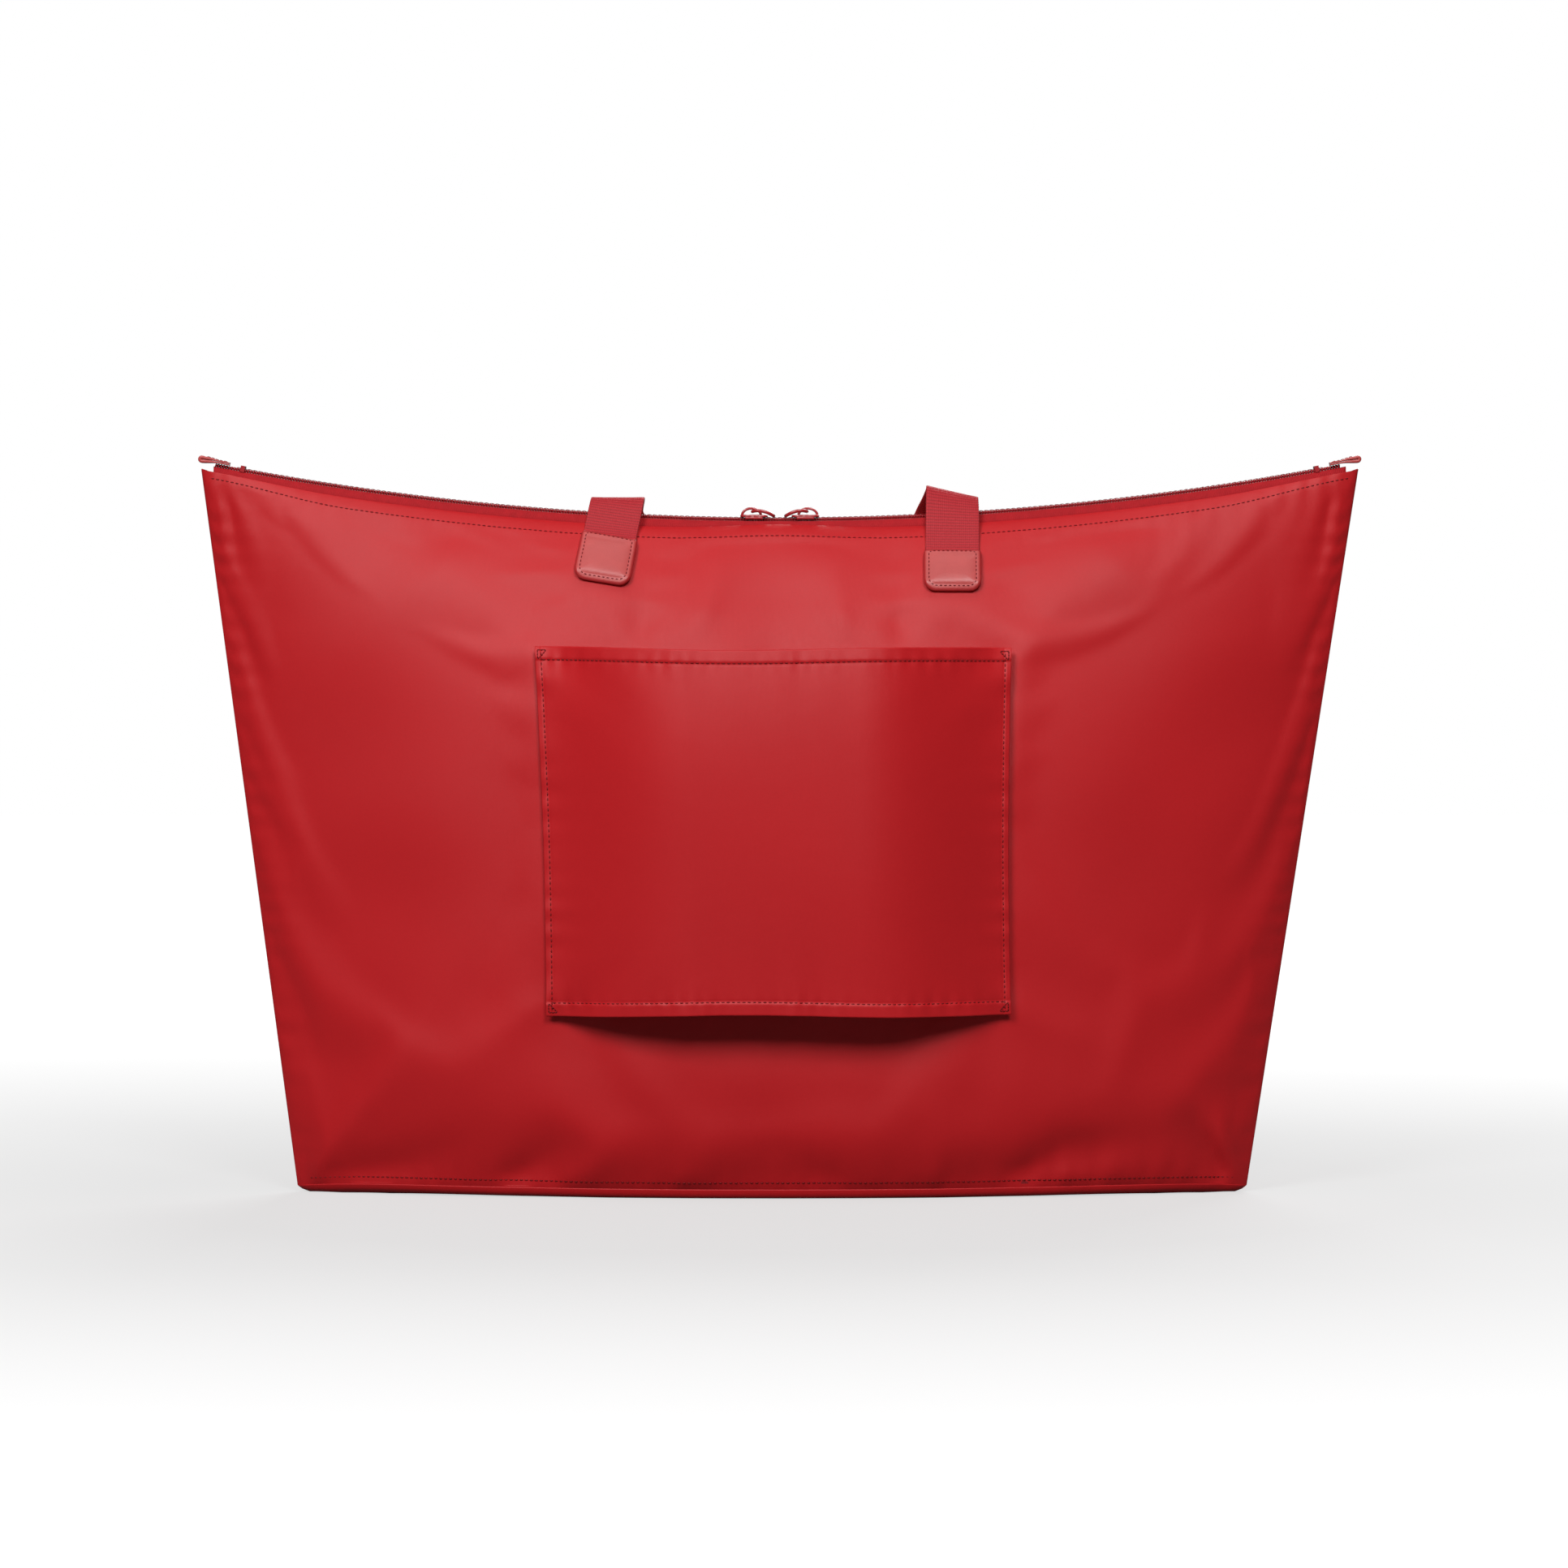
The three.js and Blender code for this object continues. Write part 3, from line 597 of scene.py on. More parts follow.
class Surface:
    """A node material under construction."""

    def __init__(self, name, base, roughness, **sockets):
        self.material = bpy.data.materials.new(name)
        self.material.use_nodes = True
        self.tree = self.material.node_tree
        self.shader = self.tree.nodes["Principled BSDF"]
        self.shader.inputs["Base Color"].default_value = base
        self.shader.inputs["Roughness"].default_value = roughness
        self.material.diffuse_color = base
        for socket, value in sockets.items():
            self.shader.inputs[socket.replace("_", " ")].default_value = value

    def node(self, kind, inputs=(), **settings):
        made = self.tree.nodes.new("ShaderNode" + kind)
        for key, value in settings.items():
            setattr(made, key, value)
        for key, value in dict(inputs).items():
            self.plug(value, made.inputs[key])
        return made

    def plug(self, value, socket):
        if isinstance(value, bpy.types.NodeSocket):
            self.tree.links.new(value, socket)
        else:
            socket.default_value = value

    def place(self):
        return self.node("TexCoord").outputs["Object"]

    def threads(self):
        return self.node("UVMap", uv_map="threads").outputs["UV"]

    def noise(self, where, scale, detail=3.0, roughness=0.55):
        inputs = {"Vector": where, "Scale": scale, "Detail": detail, "Roughness": roughness}
        return self.node("TexNoise", inputs).outputs["Fac"]

    def bands(self, where, pitch, axis):
        """Smooth bands with the given pitch in metres along one axis."""
        inputs = {"Vector": where, "Scale": math.pi / 10 / pitch}
        return self.node("TexWave", inputs, bands_direction=axis).outputs["Fac"]

    def maths(self, operation, a, b=0.0):
        return self.node("Math", {0: a, 1: b}, operation=operation).outputs[0]

    def spread(self, value, low, high):
        """A number from 0 to 1 mapped from low to high."""
        return self.node("MapRange", {"Value": value, "To Min": low, "To Max": high}).outputs["Result"]

    def paint(self, share, dark, light):
        made = self.tree.nodes.new("ShaderNodeMix")
        made.data_type = "RGBA"
        self.plug(share, made.inputs[0])
        made.inputs[6].default_value = dark
        made.inputs[7].default_value = light
        self.tree.links.new(made.outputs[2], self.shader.inputs["Base Color"])

    def rough(self, value):
        self.plug(value, self.shader.inputs["Roughness"])

    def relief(self, *layers):
        """Bump layers as (height, distance in metres, strength)."""
        normal = None
        for height, distance, strength in layers:
            inputs = {"Height": height, "Distance": distance, "Strength": strength}
            if normal is not None:
                inputs["Normal"] = normal
            normal = self.node("Bump", inputs).outputs["Normal"]
        self.plug(normal, self.shader.inputs["Normal"])


def shade(base, factor):
    return tuple(min(c * factor, 1) for c in base[:3]) + (1,)


def nylon_material(name, base, roughness, sheen, gloss):
    """Tightly woven nylon: fine crossed threads, slubs and a slow change of tone."""
    s = Surface(name, base, roughness, Sheen_Weight=sheen, Sheen_Roughness=0.45,
                Specular_IOR_Level=gloss)
    s.shader.inputs["Sheen Tint"].default_value = colour(255, 170, 165)
    where = s.threads()
    weft = s.bands(where, 0.00042, "X")
    warp = s.bands(where, 0.00036, "Y")
    weave = s.maths("MULTIPLY", weft, warp)
    slubs = s.node("Mapping", {"Vector": where, "Scale": (14.0, 1.0, 1.0)}).outputs["Vector"]
    slub = s.noise(slubs, 160.0, 2.0)
    tone = s.noise(where, 9.0, 2.0)
    mottle = s.noise(where, 900.0, 2.0)
    share = s.maths("ADD", s.maths("MULTIPLY", tone, 0.6), s.maths("MULTIPLY", mottle, 0.4))
    s.paint(s.spread(share, 0.0, 1.0), shade(base, 0.86), shade(base, 1.14))
    s.rough(s.spread(slub, roughness - 0.05, roughness + 0.07))
    s.relief((weave, 0.00005, 0.5), (slub, 0.0001, 0.2), (s.noise(where, 60.0, 3.0), 0.0006, 0.12))
    return s.material


def tape_material(name, base):
    """Woven tape with a fine herringbone."""
    s = Surface(name, base, 0.75, Sheen_Weight=0.04, Sheen_Roughness=0.5, Specular_IOR_Level=0.2)
    where = s.place()
    lean = s.node("Mapping", {"Vector": where, "Rotation": (0.0, 0.0, 0.7)}).outputs["Vector"]
    twill = s.bands(lean, 0.0007, "X")
    s.paint(s.noise(where, 300.0), shade(base, 0.8), shade(base, 1.2))
    s.relief((twill, 0.0002, 0.6), (s.noise(where, 1500.0), 0.0001, 0.3))
    return s.material


def webbing_material(name, base):
    """Ribbed webbing: fine yarns across each rib, a little fuzz, and painted shade in the hollows
    between the ribs.
    """
    s = Surface(name, base, 0.62, Sheen_Weight=0.35, Sheen_Roughness=0.4, Specular_IOR_Level=0.35)
    s.shader.inputs["Sheen Tint"].default_value = colour(255, 150, 150)
    where = s.threads()
    # rib: bands of painted shade, in step with the ribs that the webbing's mesh models.
    rib = s.bands(where, RIB_PITCH * MM, "Y")
    yarn = s.bands(where, 0.0009, "X")
    grain = s.noise(where, 1400.0, 2.0)
    # The colour mixes painted shade, darker in the hollows between the ribs, with the fuzz's own random
    # grain.
    share = s.maths("ADD", s.maths("MULTIPLY", rib, 0.55), s.maths("MULTIPLY", grain, 0.45))
    s.paint(share, shade(base, 0.62), shade(base, 1.2))
    s.relief((yarn, 0.00018, 0.55), (grain, 0.00012, 0.4))
    return s.material


def leather_material(name, base, roughness=0.4):
    """Smooth leather: small pebbles, faint pores and a polish that varies."""
    s = Surface(name, base, roughness, Specular_IOR_Level=0.5, Coat_Weight=0.12, Coat_Roughness=0.3)
    where = s.place()
    cells = s.node("TexVoronoi", {"Vector": where, "Scale": 1500.0}, feature="SMOOTH_F1")
    pores = s.noise(where, 2600.0, 2.0)
    cloudy = s.noise(where, 120.0, 3.0)
    s.paint(cloudy, shade(base, 0.85), shade(base, 1.15))
    s.rough(s.spread(cloudy, roughness - 0.07, roughness + 0.1))
    s.relief((cells.outputs["Distance"], 0.0001, 0.45), (pores, 0.00005, 0.3), (cloudy, 0.0004, 0.15))
    return s.material


def coil_material(name, base):
    """Polyester filament: satin plastic with fine drawn lines."""
    s = Surface(name, base, 0.36, Specular_IOR_Level=0.5, Coat_Weight=0.1, Coat_Roughness=0.25)
    where = s.place()
    s.paint(s.noise(where, 700.0), shade(base, 0.75), shade(base, 1.25))
    s.relief((s.noise(where, 3000.0, 1.0), 0.00003, 0.3))
    return s.material


def enamel_material(name, base):
    """Cast metal under a glossy baked coating, with a faint orange peel and softer worn spots."""
    s = Surface(name, base, 0.24, Specular_IOR_Level=0.6, Coat_Weight=0.7, Coat_Roughness=0.08)
    where = s.place()
    peel = s.noise(where, 900.0, 2.0)
    worn = s.noise(where, 220.0, 3.0)
    s.paint(worn, shade(base, 0.9), shade(base, 1.1))
    s.rough(s.spread(worn, 0.2, 0.32))
    s.relief((peel, 0.00006, 0.25))
    return s.material


def thread_material(name, base):
    """Twisted sewing thread."""
    s = Surface(name, base, 0.55, Specular_IOR_Level=0.3)
    where = s.place()
    s.paint(s.noise(where, 2500.0), shade(base, 0.75), shade(base, 1.25))
    s.relief((s.noise(where, 5000.0, 1.0), 0.00004, 0.5))
    return s.material


NYLON = nylon_material("satin_nylon", colour(196, 26, 32), 0.45, 0.03, 0.3)
NYLON_INSIDE = nylon_material("nylon_inside", colour(158, 38, 42), 0.6, 0.2, 0.3)
BINDING = tape_material("binding_tape", colour(140, 30, 36))
ZIP_TAPE = tape_material("zip_tape", colour(176, 26, 34))
WEBBING = webbing_material("ribbed_webbing", colour(186, 36, 46))
LEATHER = leather_material("smooth_leather", colour(192, 70, 68))
LEATHER_EDGE = leather_material("painted_edge", colour(180, 46, 48), 0.32)
COIL = coil_material("coil_filament", colour(166, 22, 32))
ENAMEL = enamel_material("red_enamel", colour(176, 40, 46))
THREAD_RED = thread_material("sewing_thread", colour(126, 14, 20))
THREAD_DARK = thread_material("patch_thread", colour(122, 16, 24))

# ---- Stitches ---------------------------------------------------------------------------


def resample(path, spacing):
    """Points evenly spaced along a path."""
    lengths = run_lengths(path)
    wanted = np.linspace(0, lengths[-1], max(int(round(lengths[-1] / spacing)), 1) + 1)
    return columns_at(wanted, lengths, path)


def stitch_row(path, outward, pitch=STITCH_PITCH, length=STITCH_LENGTH, radius=THREAD):
    """Single stitches along a path: spindles of thread that dive into the cloth at both ends."""
    path, outward = np.asarray(path, float), np.asarray(outward, float)
    places = resample(path, pitch)
    shares, outward_shares = np.linspace(0, 1, len(places)), np.linspace(0, 1, len(outward))
    facing = unit(columns_at(shares, outward_shares, outward))
    gap = (1 - length / pitch) / 2
    return [thread(a + (b - a) * gap, b - (b - a) * gap, n, radius)
            for a, b, n in zip(places[:-1], places[1:], facing)]


def thread(start, end, outward, radius):
    """One stitch as a bent spindle."""
    t = np.linspace(0, 1, 5)
    arch = np.sin(t * math.pi)
    middle = start + (end - start) * t[:, None] + outward * (radius * (1.15 * arch - 0.45))[:, None]
    side = unit(np.cross(end - start, outward))
    turn = turns(6)
    girth = radius * (0.55 + 0.45 * arch)
    ring = np.cos(turn)[None, :, None] * side + np.sin(turn)[None, :, None] * outward
    return tube(middle[:, None, :] + ring * girth[:, None, None])


def sewn(name, rows, material, body="bag"):
    """Rows of stitches as one piece."""
    return make_piece(name, gather([part for row in rows for part in row]), material, body)


# ---- Panels and base --------------------------------------------------------------------


PANEL_COLUMNS = 300
PANEL_ROWS = 190


def build_panel(side):
    relief[side["name"]] = np.zeros((SIM_ROWS, SIM_COLUMNS, 3))
    relief[side["name"]] = settle(side)
    grid = panel_point(side, *panel_places(PANEL_COLUMNS, PANEL_ROWS))
    panel = cloth_piece(f"{side['name']}_cloth", grid, CLOTH, side["sign"] * TO_FRONT, NYLON)
    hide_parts(f"{side['name']}_panel")
    return panel


def side_top_line(side, below):
    """Points just under a panel's upper edge, with the way they face."""
    across = np.linspace(-0.985, 0.985, 260)
    z = panel_top(across) - below * lerp(1, 0.62, smoothstep(np.abs(across), 0.75, 0.97))
    x = across * half_width(z)
    return on_panel(side, x, z, 0.02), unit(on_panel(side, x, z, 1.0) - on_panel(side, x, z, 0.0))


def base_outline(side, share):
    """The base seam's outline on one side, drawn in towards the middle by a share."""
    across = crowded(200)
    edge = panel_point(side, across * half_width(panel_foot(across)), panel_foot(across))
    return edge * np.array([share, share, 1])


# (share of the base seam's outline, distance below it) of each ring of the base.
BASE_RINGS = [(1.0, 0.1), (0.998, 0.6), (0.99, 1.9), (0.975, 3.2), (0.95, 4.1), (0.9, 4.7), (0.8, 5.0),
              (0.6, 5.0), (0.35, 5.0), (0.1, 5.0), (0.01, 5.0)]
FLOOR_GAP = 0.05  # the base keeps just off the floor


def build_base():
    """The base sags a little below its seam and lies flat on the floor in the middle."""
    rings = []
    for share, drop in BASE_RINGS:
        back, front = base_outline(BACK, share), base_outline(FRONT, share)
        ring = np.concatenate([back, front[::-1][1:-1]])
        ring[:, 2] = np.maximum(ring[:, 2] - drop, FLOOR_GAP)
        rings.append(ring)
    inner = [ring + np.array([0, 0, CLOTH]) for ring in rings[::-1]]
    grid = np.stack(rings + inner)
    base = make_piece("base_cloth", tube(grid), NYLON, threads=grid_places(grid))
    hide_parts("base_panel")


def grid_places(grid):
    """Thread places of a closed tube lying flat: simply across and along the floor."""
    flat = grid.reshape(-1, 3)[:, :2]
    return np.concatenate([flat, flat[:2]])


# ---- Luggage sleeve ---------------------------------------------------------------------

SLEEVE_HEM = 5.7  # from the edge to the hem's stitching
SLEEVE_SIDE = 2.8
SLEEVE_FLAT = 38  # half width of the flat middle, stretched between the suitcase handle's tubes
SLEEVE_FLAT_SHARE = SLEEVE_FLAT / SLEEVE_TOP_HALF
SLEEVE_BOW_END = 1.12  # the bow would come down to nothing just outside the seam
SLEEVE_BOW_FULL = 0.97  # so the flat middle stands 3 percent further off than its bow
SLEEVE_TACK = 4.2  # size of the sewn triangle in each corner


def sleeve_half(v):
    return lerp(SLEEVE_BOTTOM_HALF, SLEEVE_TOP_HALF, v) - 1.3 * np.sin(math.pi * np.clip(v, 0, 1))


def sleeve_point(u, v, off=0.0):
    """The sleeve's outer face: sewn to the panel at its sides, standing off it between them."""
    span, rise = 2 * u - 1, 2 * v - 1
    z = lerp(SLEEVE_LOW, SLEEVE_HIGH, v) + 0.5 * np.sin(u * 9 + 1.0) * rise + 0.9 * rise * span**2
    x = span * sleeve_half(v)
    standing = 1 - smoothstep(np.abs(span), SLEEVE_FLAT_SHARE, SLEEVE_BOW_END)
    bow = lerp(SLEEVE_BOW_LOW, SLEEVE_BOW_HIGH, v) * standing / SLEEVE_BOW_FULL
    sewn_down = np.abs(span) ** 10
    slope = smoothstep(np.abs(x), SLEEVE_FLAT, SLEEVE_TOP_HALF + 12)
    depth = lerp(ideal_depth(BACK, SLEEVE_FLAT, z), ideal_depth(BACK, x, z), slope)
    depth = depth + relief_height(BACK, x, z) * sewn_down
    from_end = np.minimum(v, 1 - v) * (SLEEVE_HIGH - SLEEVE_LOW)
    from_side = (1 - np.abs(span)) * sleeve_half(v)
    hem = 0.55 * (1 - smoothstep(from_end, SLEEVE_HEM - 0.6, SLEEVE_HEM + 0.6))
    groove = -0.2 * bump(from_end, SLEEVE_HEM, 0.8) - 0.2 * bump(from_side, SLEEVE_SIDE, 0.7)
    edge = 0.5 * (1 - smoothstep(from_side, SLEEVE_SIDE - 0.5, SLEEVE_SIDE + 0.5))
    near_hem = np.exp(-np.abs(from_end - SLEEVE_HEM) / 3)
    slack = 0.5 * np.exp(-from_end / 16) * pucker(x, 27) + 0.3 * near_hem * pucker(x, 7.2)
    slack += 0.35 * np.exp(-from_side / 7) * pucker(z, 13)
    corner = np.exp(-(from_end + from_side) / 22)
    drawn = 1.2 * corner * np.sin((from_end - from_side) / 6.0)
    slow = 0.45 * unevenness(x * 0.7, z * 0.8)
    lift = CLOTH + 0.5 + bow + hem + groove + edge + slack + drawn + slow * smoothstep(from_side, 0, 25)
    return points(x + skew(z) + lerp(2.2, -2.2, v), -(depth + lift + off), z)


def half_crowded(count):
    """Shares from 0 to 1, a little closer together towards both ends."""
    even = np.linspace(0, 1, count)
    return lerp(even, 0.5 - 0.5 * np.cos(even * math.pi), 0.55)


def build_sleeve():
    grid = sleeve_point(half_crowded(260)[None, :], half_crowded(190)[:, None])
    sleeve = cloth_piece("sleeve_cloth", grid, 1.0, -TO_FRONT, NYLON)
    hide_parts("luggage_sleeve")
    return sleeve


def sleeve_path(corners, count=160):
    """Points on the sleeve's face along straight runs in (u, v), with the way they face."""
    runs = []
    for a, b in zip(corners, corners[1:]):
        t = np.linspace(0, 1, count)[:, None]
        runs.append(np.array(a) + (np.array(b) - np.array(a)) * t)
    uv = np.concatenate(runs)
    low, high = sleeve_point(uv[:, 0], uv[:, 1], 0.05), sleeve_point(uv[:, 0], uv[:, 1], 1.05)
    return low, high - low


def sew_sleeve():
    hem = SLEEVE_HEM / (SLEEVE_HIGH - SLEEVE_LOW)
    side = SLEEVE_SIDE / (2 * SLEEVE_TOP_HALF)
    du, dv = SLEEVE_TACK / (2 * SLEEVE_TOP_HALF), SLEEVE_TACK / (SLEEVE_HIGH - SLEEVE_LOW)
    runs = [[(side, v), (1 - side, v)] for v in (hem, 1 - hem)]
    runs += [[(u, 0.012), (u, 0.988)] for u in (side, 1 - side)]
    rows = [stitch_row(*sleeve_path(run)) for run in runs]
    for right in (0, 1):
        for top in (0, 1):
            u0 = 1 - 0.45 * side if right else 0.45 * side
            v0 = 0.992 if top else 0.008
            u1 = u0 - du if right else u0 + du
            v1 = v0 - dv if top else v0 + dv
            tack = sleeve_path([(u0, v0), (u1, v0), (u0, v1), (u0, v0)], 24)
            rows.append(stitch_row(*tack, pitch=1.3, length=1.25))
    sewn("sleeve_stitches", rows, THREAD_RED)


# ---- Inside: pocket and bindings --------------------------------------------------------


def pocket_point(u, v, inset):
    x, z = lerp(-POCKET_HALF, POCKET_HALF, u), lerp(POCKET_LOW, POCKET_HIGH, v)
    bow = POCKET_BOW * (1 - (2 * u - 1) ** 4) * smoothstep(v, 0, 0.5)
    slack = 0.6 * unevenness(x * 1.3, z * 1.3) * smoothstep(np.minimum(u, 1 - u), 0, 0.1)
    return on_panel(BACK, x, z, -(CLOTH + 1.3 + bow + slack + inset))


def build_pocket():
    u, v = np.linspace(0, 1, 90)[None, :], np.linspace(0, 1, 70)[:, None]
    grid = pocket_point(u, v, 0.6)
    pocket = cloth_piece("pocket_cloth", grid, 0.6, TO_FRONT, NYLON_INSIDE)
    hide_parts("inner_pocket")
    start = 1 - POCKET_HEM / (POCKET_HIGH - POCKET_LOW)
    v = np.linspace(start, 0.998, 8)[:, None]
    grid = pocket_point(u, v, 1.5)
    hem = cloth_piece("pocket_hem_cloth", grid, 0.7, TO_FRONT, NYLON_INSIDE)
    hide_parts("inner_pocket_hem")
    t = np.linspace(0.02, 0.98, 80)
    row = pocket_point(t, np.full(80, start + 0.012), 1.55)
    sewn("pocket_stitches", [stitch_row(row, np.tile(TO_FRONT, (80, 1)))], THREAD_RED)


def build_bindings():
    for end, sign in ENDS.items():
        z, u = np.linspace(12, 306, 120)[:, None], np.linspace(0, 1, 8)[None, :]
        x = sign * (half_width(z) - lerp(4, 10, u) - 0.3 * pucker(z, 14))
        grid = points(x, 0.55 + 0.15 * pucker(z, 9) + 0.12 * np.sin(u * math.pi), z)
        tape = cloth_piece(f"side_binding_tape_{end}", grid, 1.1, TO_FRONT, BINDING)
        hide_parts(f"side_binding_{end}")
    for side in (BACK, FRONT):
        x = np.linspace(-0.92, 0.92, 160)[None, :] * BASE_HALF_WIDTH
        z = panel_foot(x / BASE_HALF_WIDTH) + np.linspace(1.5, 8, 7)[:, None]
        grid = on_panel(side, x, z, -(CLOTH + 0.5 + 0.2 * np.sin(x / 5)))
        inwards = -side["sign"] * TO_FRONT
        tape = cloth_piece(f"base_binding_tape_{side['name']}", grid, 0.9, inwards, BINDING)
        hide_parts(f"base_binding_{side['name']}")


# ---- Zip --------------------------------------------------------------------------------

TAPE_END = ZIP_HALF_LENGTH + 6.5  # tapes and coils run on under the end tabs
# (share of the way out to the panel, height above the zip line) across a tape.
TAPE_PROFILE = [(0.2, -0.62), (0.4, -0.5), (0.58, -0.62), (0.72, -1.1), (0.82, -2.0), (0.91, -2.9),
                (0.97, -4.2), (0.99, -6.5), (1.0, -9.0), (1.0, -15.0)]
COIL_WIRE = 0.32  # filament radius
COIL_REACH = 1.45  # half width and half height of a filament loop
COIL_HEIGHT = 0.72
COIL_MIDDLE = (1.32, 0.12)


def on_zip(x, along, across, up):
    """A point given along, across and above the zip at its place x."""
    lean = np.arcsin(x / ZIP_RADIUS)
    return points(x + along * np.cos(lean) - up * np.sin(lean), across,
                  zip_height(x) + along * np.sin(lean) + up * np.cos(lean))


def build_tape(side):
    x = np.linspace(-TAPE_END, TAPE_END, 430)[None, :]
    share, drop = (np.array(values)[:, None] for values in zip(*TAPE_PROFILE))
    across = x / TOP_HALF_WIDTH
    lip = 1.75 + LIP_DEPTH * np.sqrt(1 - np.abs(across) ** LIP_POWER) - 1.95
    ripple = 0.12 * pucker(x, 8) * smoothstep(share, 0.5, 0.8)
    grid = points(x, side["sign"] * share * lip, zip_height(x) + drop + ripple)
    tape = cloth_piece(f"woven_tape_{side['name']}", grid, 0.55, UP, ZIP_TAPE)
    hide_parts(f"zip_tape_{side['name']}")


def build_coil(side):
    """One loop of filament for each tooth, its head hooked past the middle of the zip."""
    count = int((2 * TAPE_END - 2) / COIL_PITCH)
    first = -TAPE_END + 1 + (COIL_PITCH / 2 if side is FRONT else 0)
    x = (first + COIL_PITCH * np.arange(count))[:, None, None]
    turn = turns(12)[None, :, None]
    girth = turns(6)[None, None, :]
    middle_y = COIL_MIDDLE[0] - COIL_REACH * np.cos(turn)
    middle_z = COIL_MIDDLE[1] + COIL_HEIGHT * np.sin(turn)
    lean = 0.16 * np.sin(turn)
    nose = 1 + 0.25 * bump(turn, 0, 0.7)
    out_y, out_z = -np.cos(turn) * COIL_HEIGHT, np.sin(turn) * COIL_REACH
    length = np.hypot(out_y, out_z)
    along = lean + COIL_WIRE * np.sin(girth) * nose
    across = middle_y + COIL_WIRE * np.cos(girth) * out_y / length
    up = middle_z + COIL_WIRE * np.cos(girth) * out_z / length
    grid = on_zip(x, along, side["sign"] * across, up)
    one = quads(turn.size, girth.size, wrap_rows=True, wrap_columns=True)
    start = np.arange(count) * turn.size * girth.size
    faces = (one[None] + start[:, None, None]).reshape(-1, 4)
    vertices = grid.reshape(-1, 3)
    solid = (vertices, facing_out(vertices, faces))
    coil = make_piece(f"coil_teeth_{side['name']}", solid, COIL)
    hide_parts(f"zip_coil_{side['name']}")


def sew_zip():
    rows = []
    for side in (BACK, FRONT):
        x = np.linspace(-ZIP_HALF_LENGTH + 4, ZIP_HALF_LENGTH - 4, 300)
        path = on_zip(x, 0.0, side["sign"] * 1.9, 1.08)
        rows.append(stitch_row(path, np.tile(UP, (300, 1)), 2 * COIL_PITCH, 2.3, 0.16))
    sewn("coil_stitches", rows, THREAD_DARK)


# ---- Sliders, rings, stops and end tabs -------------------------------------------------


SLIDER_WAIST = 0.12  # share by which a slider is drawn in at its middle
WAIST_LENGTH = 0.22  # as a share of its length


def at_spot(x0, end, local):
    """Moves points given about the zip's place x0, outer end towards +X, to either half."""
    placed = on_zip(x0, local[..., 0], local[..., 1], local[..., 2])
    return placed * np.array([end, end, 1])


def rounded_outline(length, width, corner, waist=0.0, count=9):
    """A rounded rectangle about the origin, optionally drawn in at its waist."""
    outline = []
    for k, (cx, cy) in enumerate(((1, -1), (1, 1), (-1, 1), (-1, -1))):
        for a in np.linspace(-90, 0, count) + 90 * k:
            outline.append((cx * (length / 2 - corner) + corner * math.cos(math.radians(a)),
                            cy * (width / 2 - corner) + corner * math.sin(math.radians(a))))
    outline = resample(np.array([(x, y, 0) for x, y in outline + outline[:1]]), 0.45)[:-1, :2]
    outline[:, 1] *= 1 - waist * bump(outline[:, 0], 0, length * WAIST_LENGTH)
    return outline


def pad(outline, profile):
    """Rings of an outline as (inset, height, share of its size), closed at both ends."""
    tangent = unit(np.roll(outline, -1, 0) - np.roll(outline, 1, 0))
    inward = np.stack([-tangent[:, 1], tangent[:, 0]], 1)
    centre = outline.mean(0)
    rings = []
    for inset, height, share in profile:
        ring = centre + (outline + inward * inset - centre) * share
        rings.append(at_height(ring, height))
    return np.stack(rings)


def plate_profile(low, high, rounding):
    """A plate with rounded edges."""
    angles = np.radians(np.linspace(0, 90, 4))
    sines, cosines = (rounding * (1 - wave) for wave in (np.sin(angles), np.cos(angles)))
    rings = [(rounding, low, 0.03), (rounding, low, 1)]
    rings += [(s, low + c, 1) for s, c in zip(sines[1:], cosines[1:])]
    rings += [(c, high - s, 1) for s, c in zip(sines, cosines)]
    rings += [(rounding + 0.4, high + 0.04, 1), (rounding, high + 0.12, 0.5)]
    return rings + [(rounding, high + 0.14, 0.03)]


def swept(path, side, half_across, half_thick, squareness=0.45, count=14):
    """A bar with a soft rectangular section along a path lying square to side."""
    tangent = unit(np.gradient(path, axis=0))
    up = np.cross(tangent, side)
    turn = turns(count)
    c = squarer(np.cos(turn), squareness) * half_across
    s = squarer(np.sin(turn), squareness)
    thick = np.broadcast_to(half_thick, len(path))[:, None, None]
    return path[:, None, :] + c[None, :, None] * side + s[None, :, None] * thick * up[:, None, :]


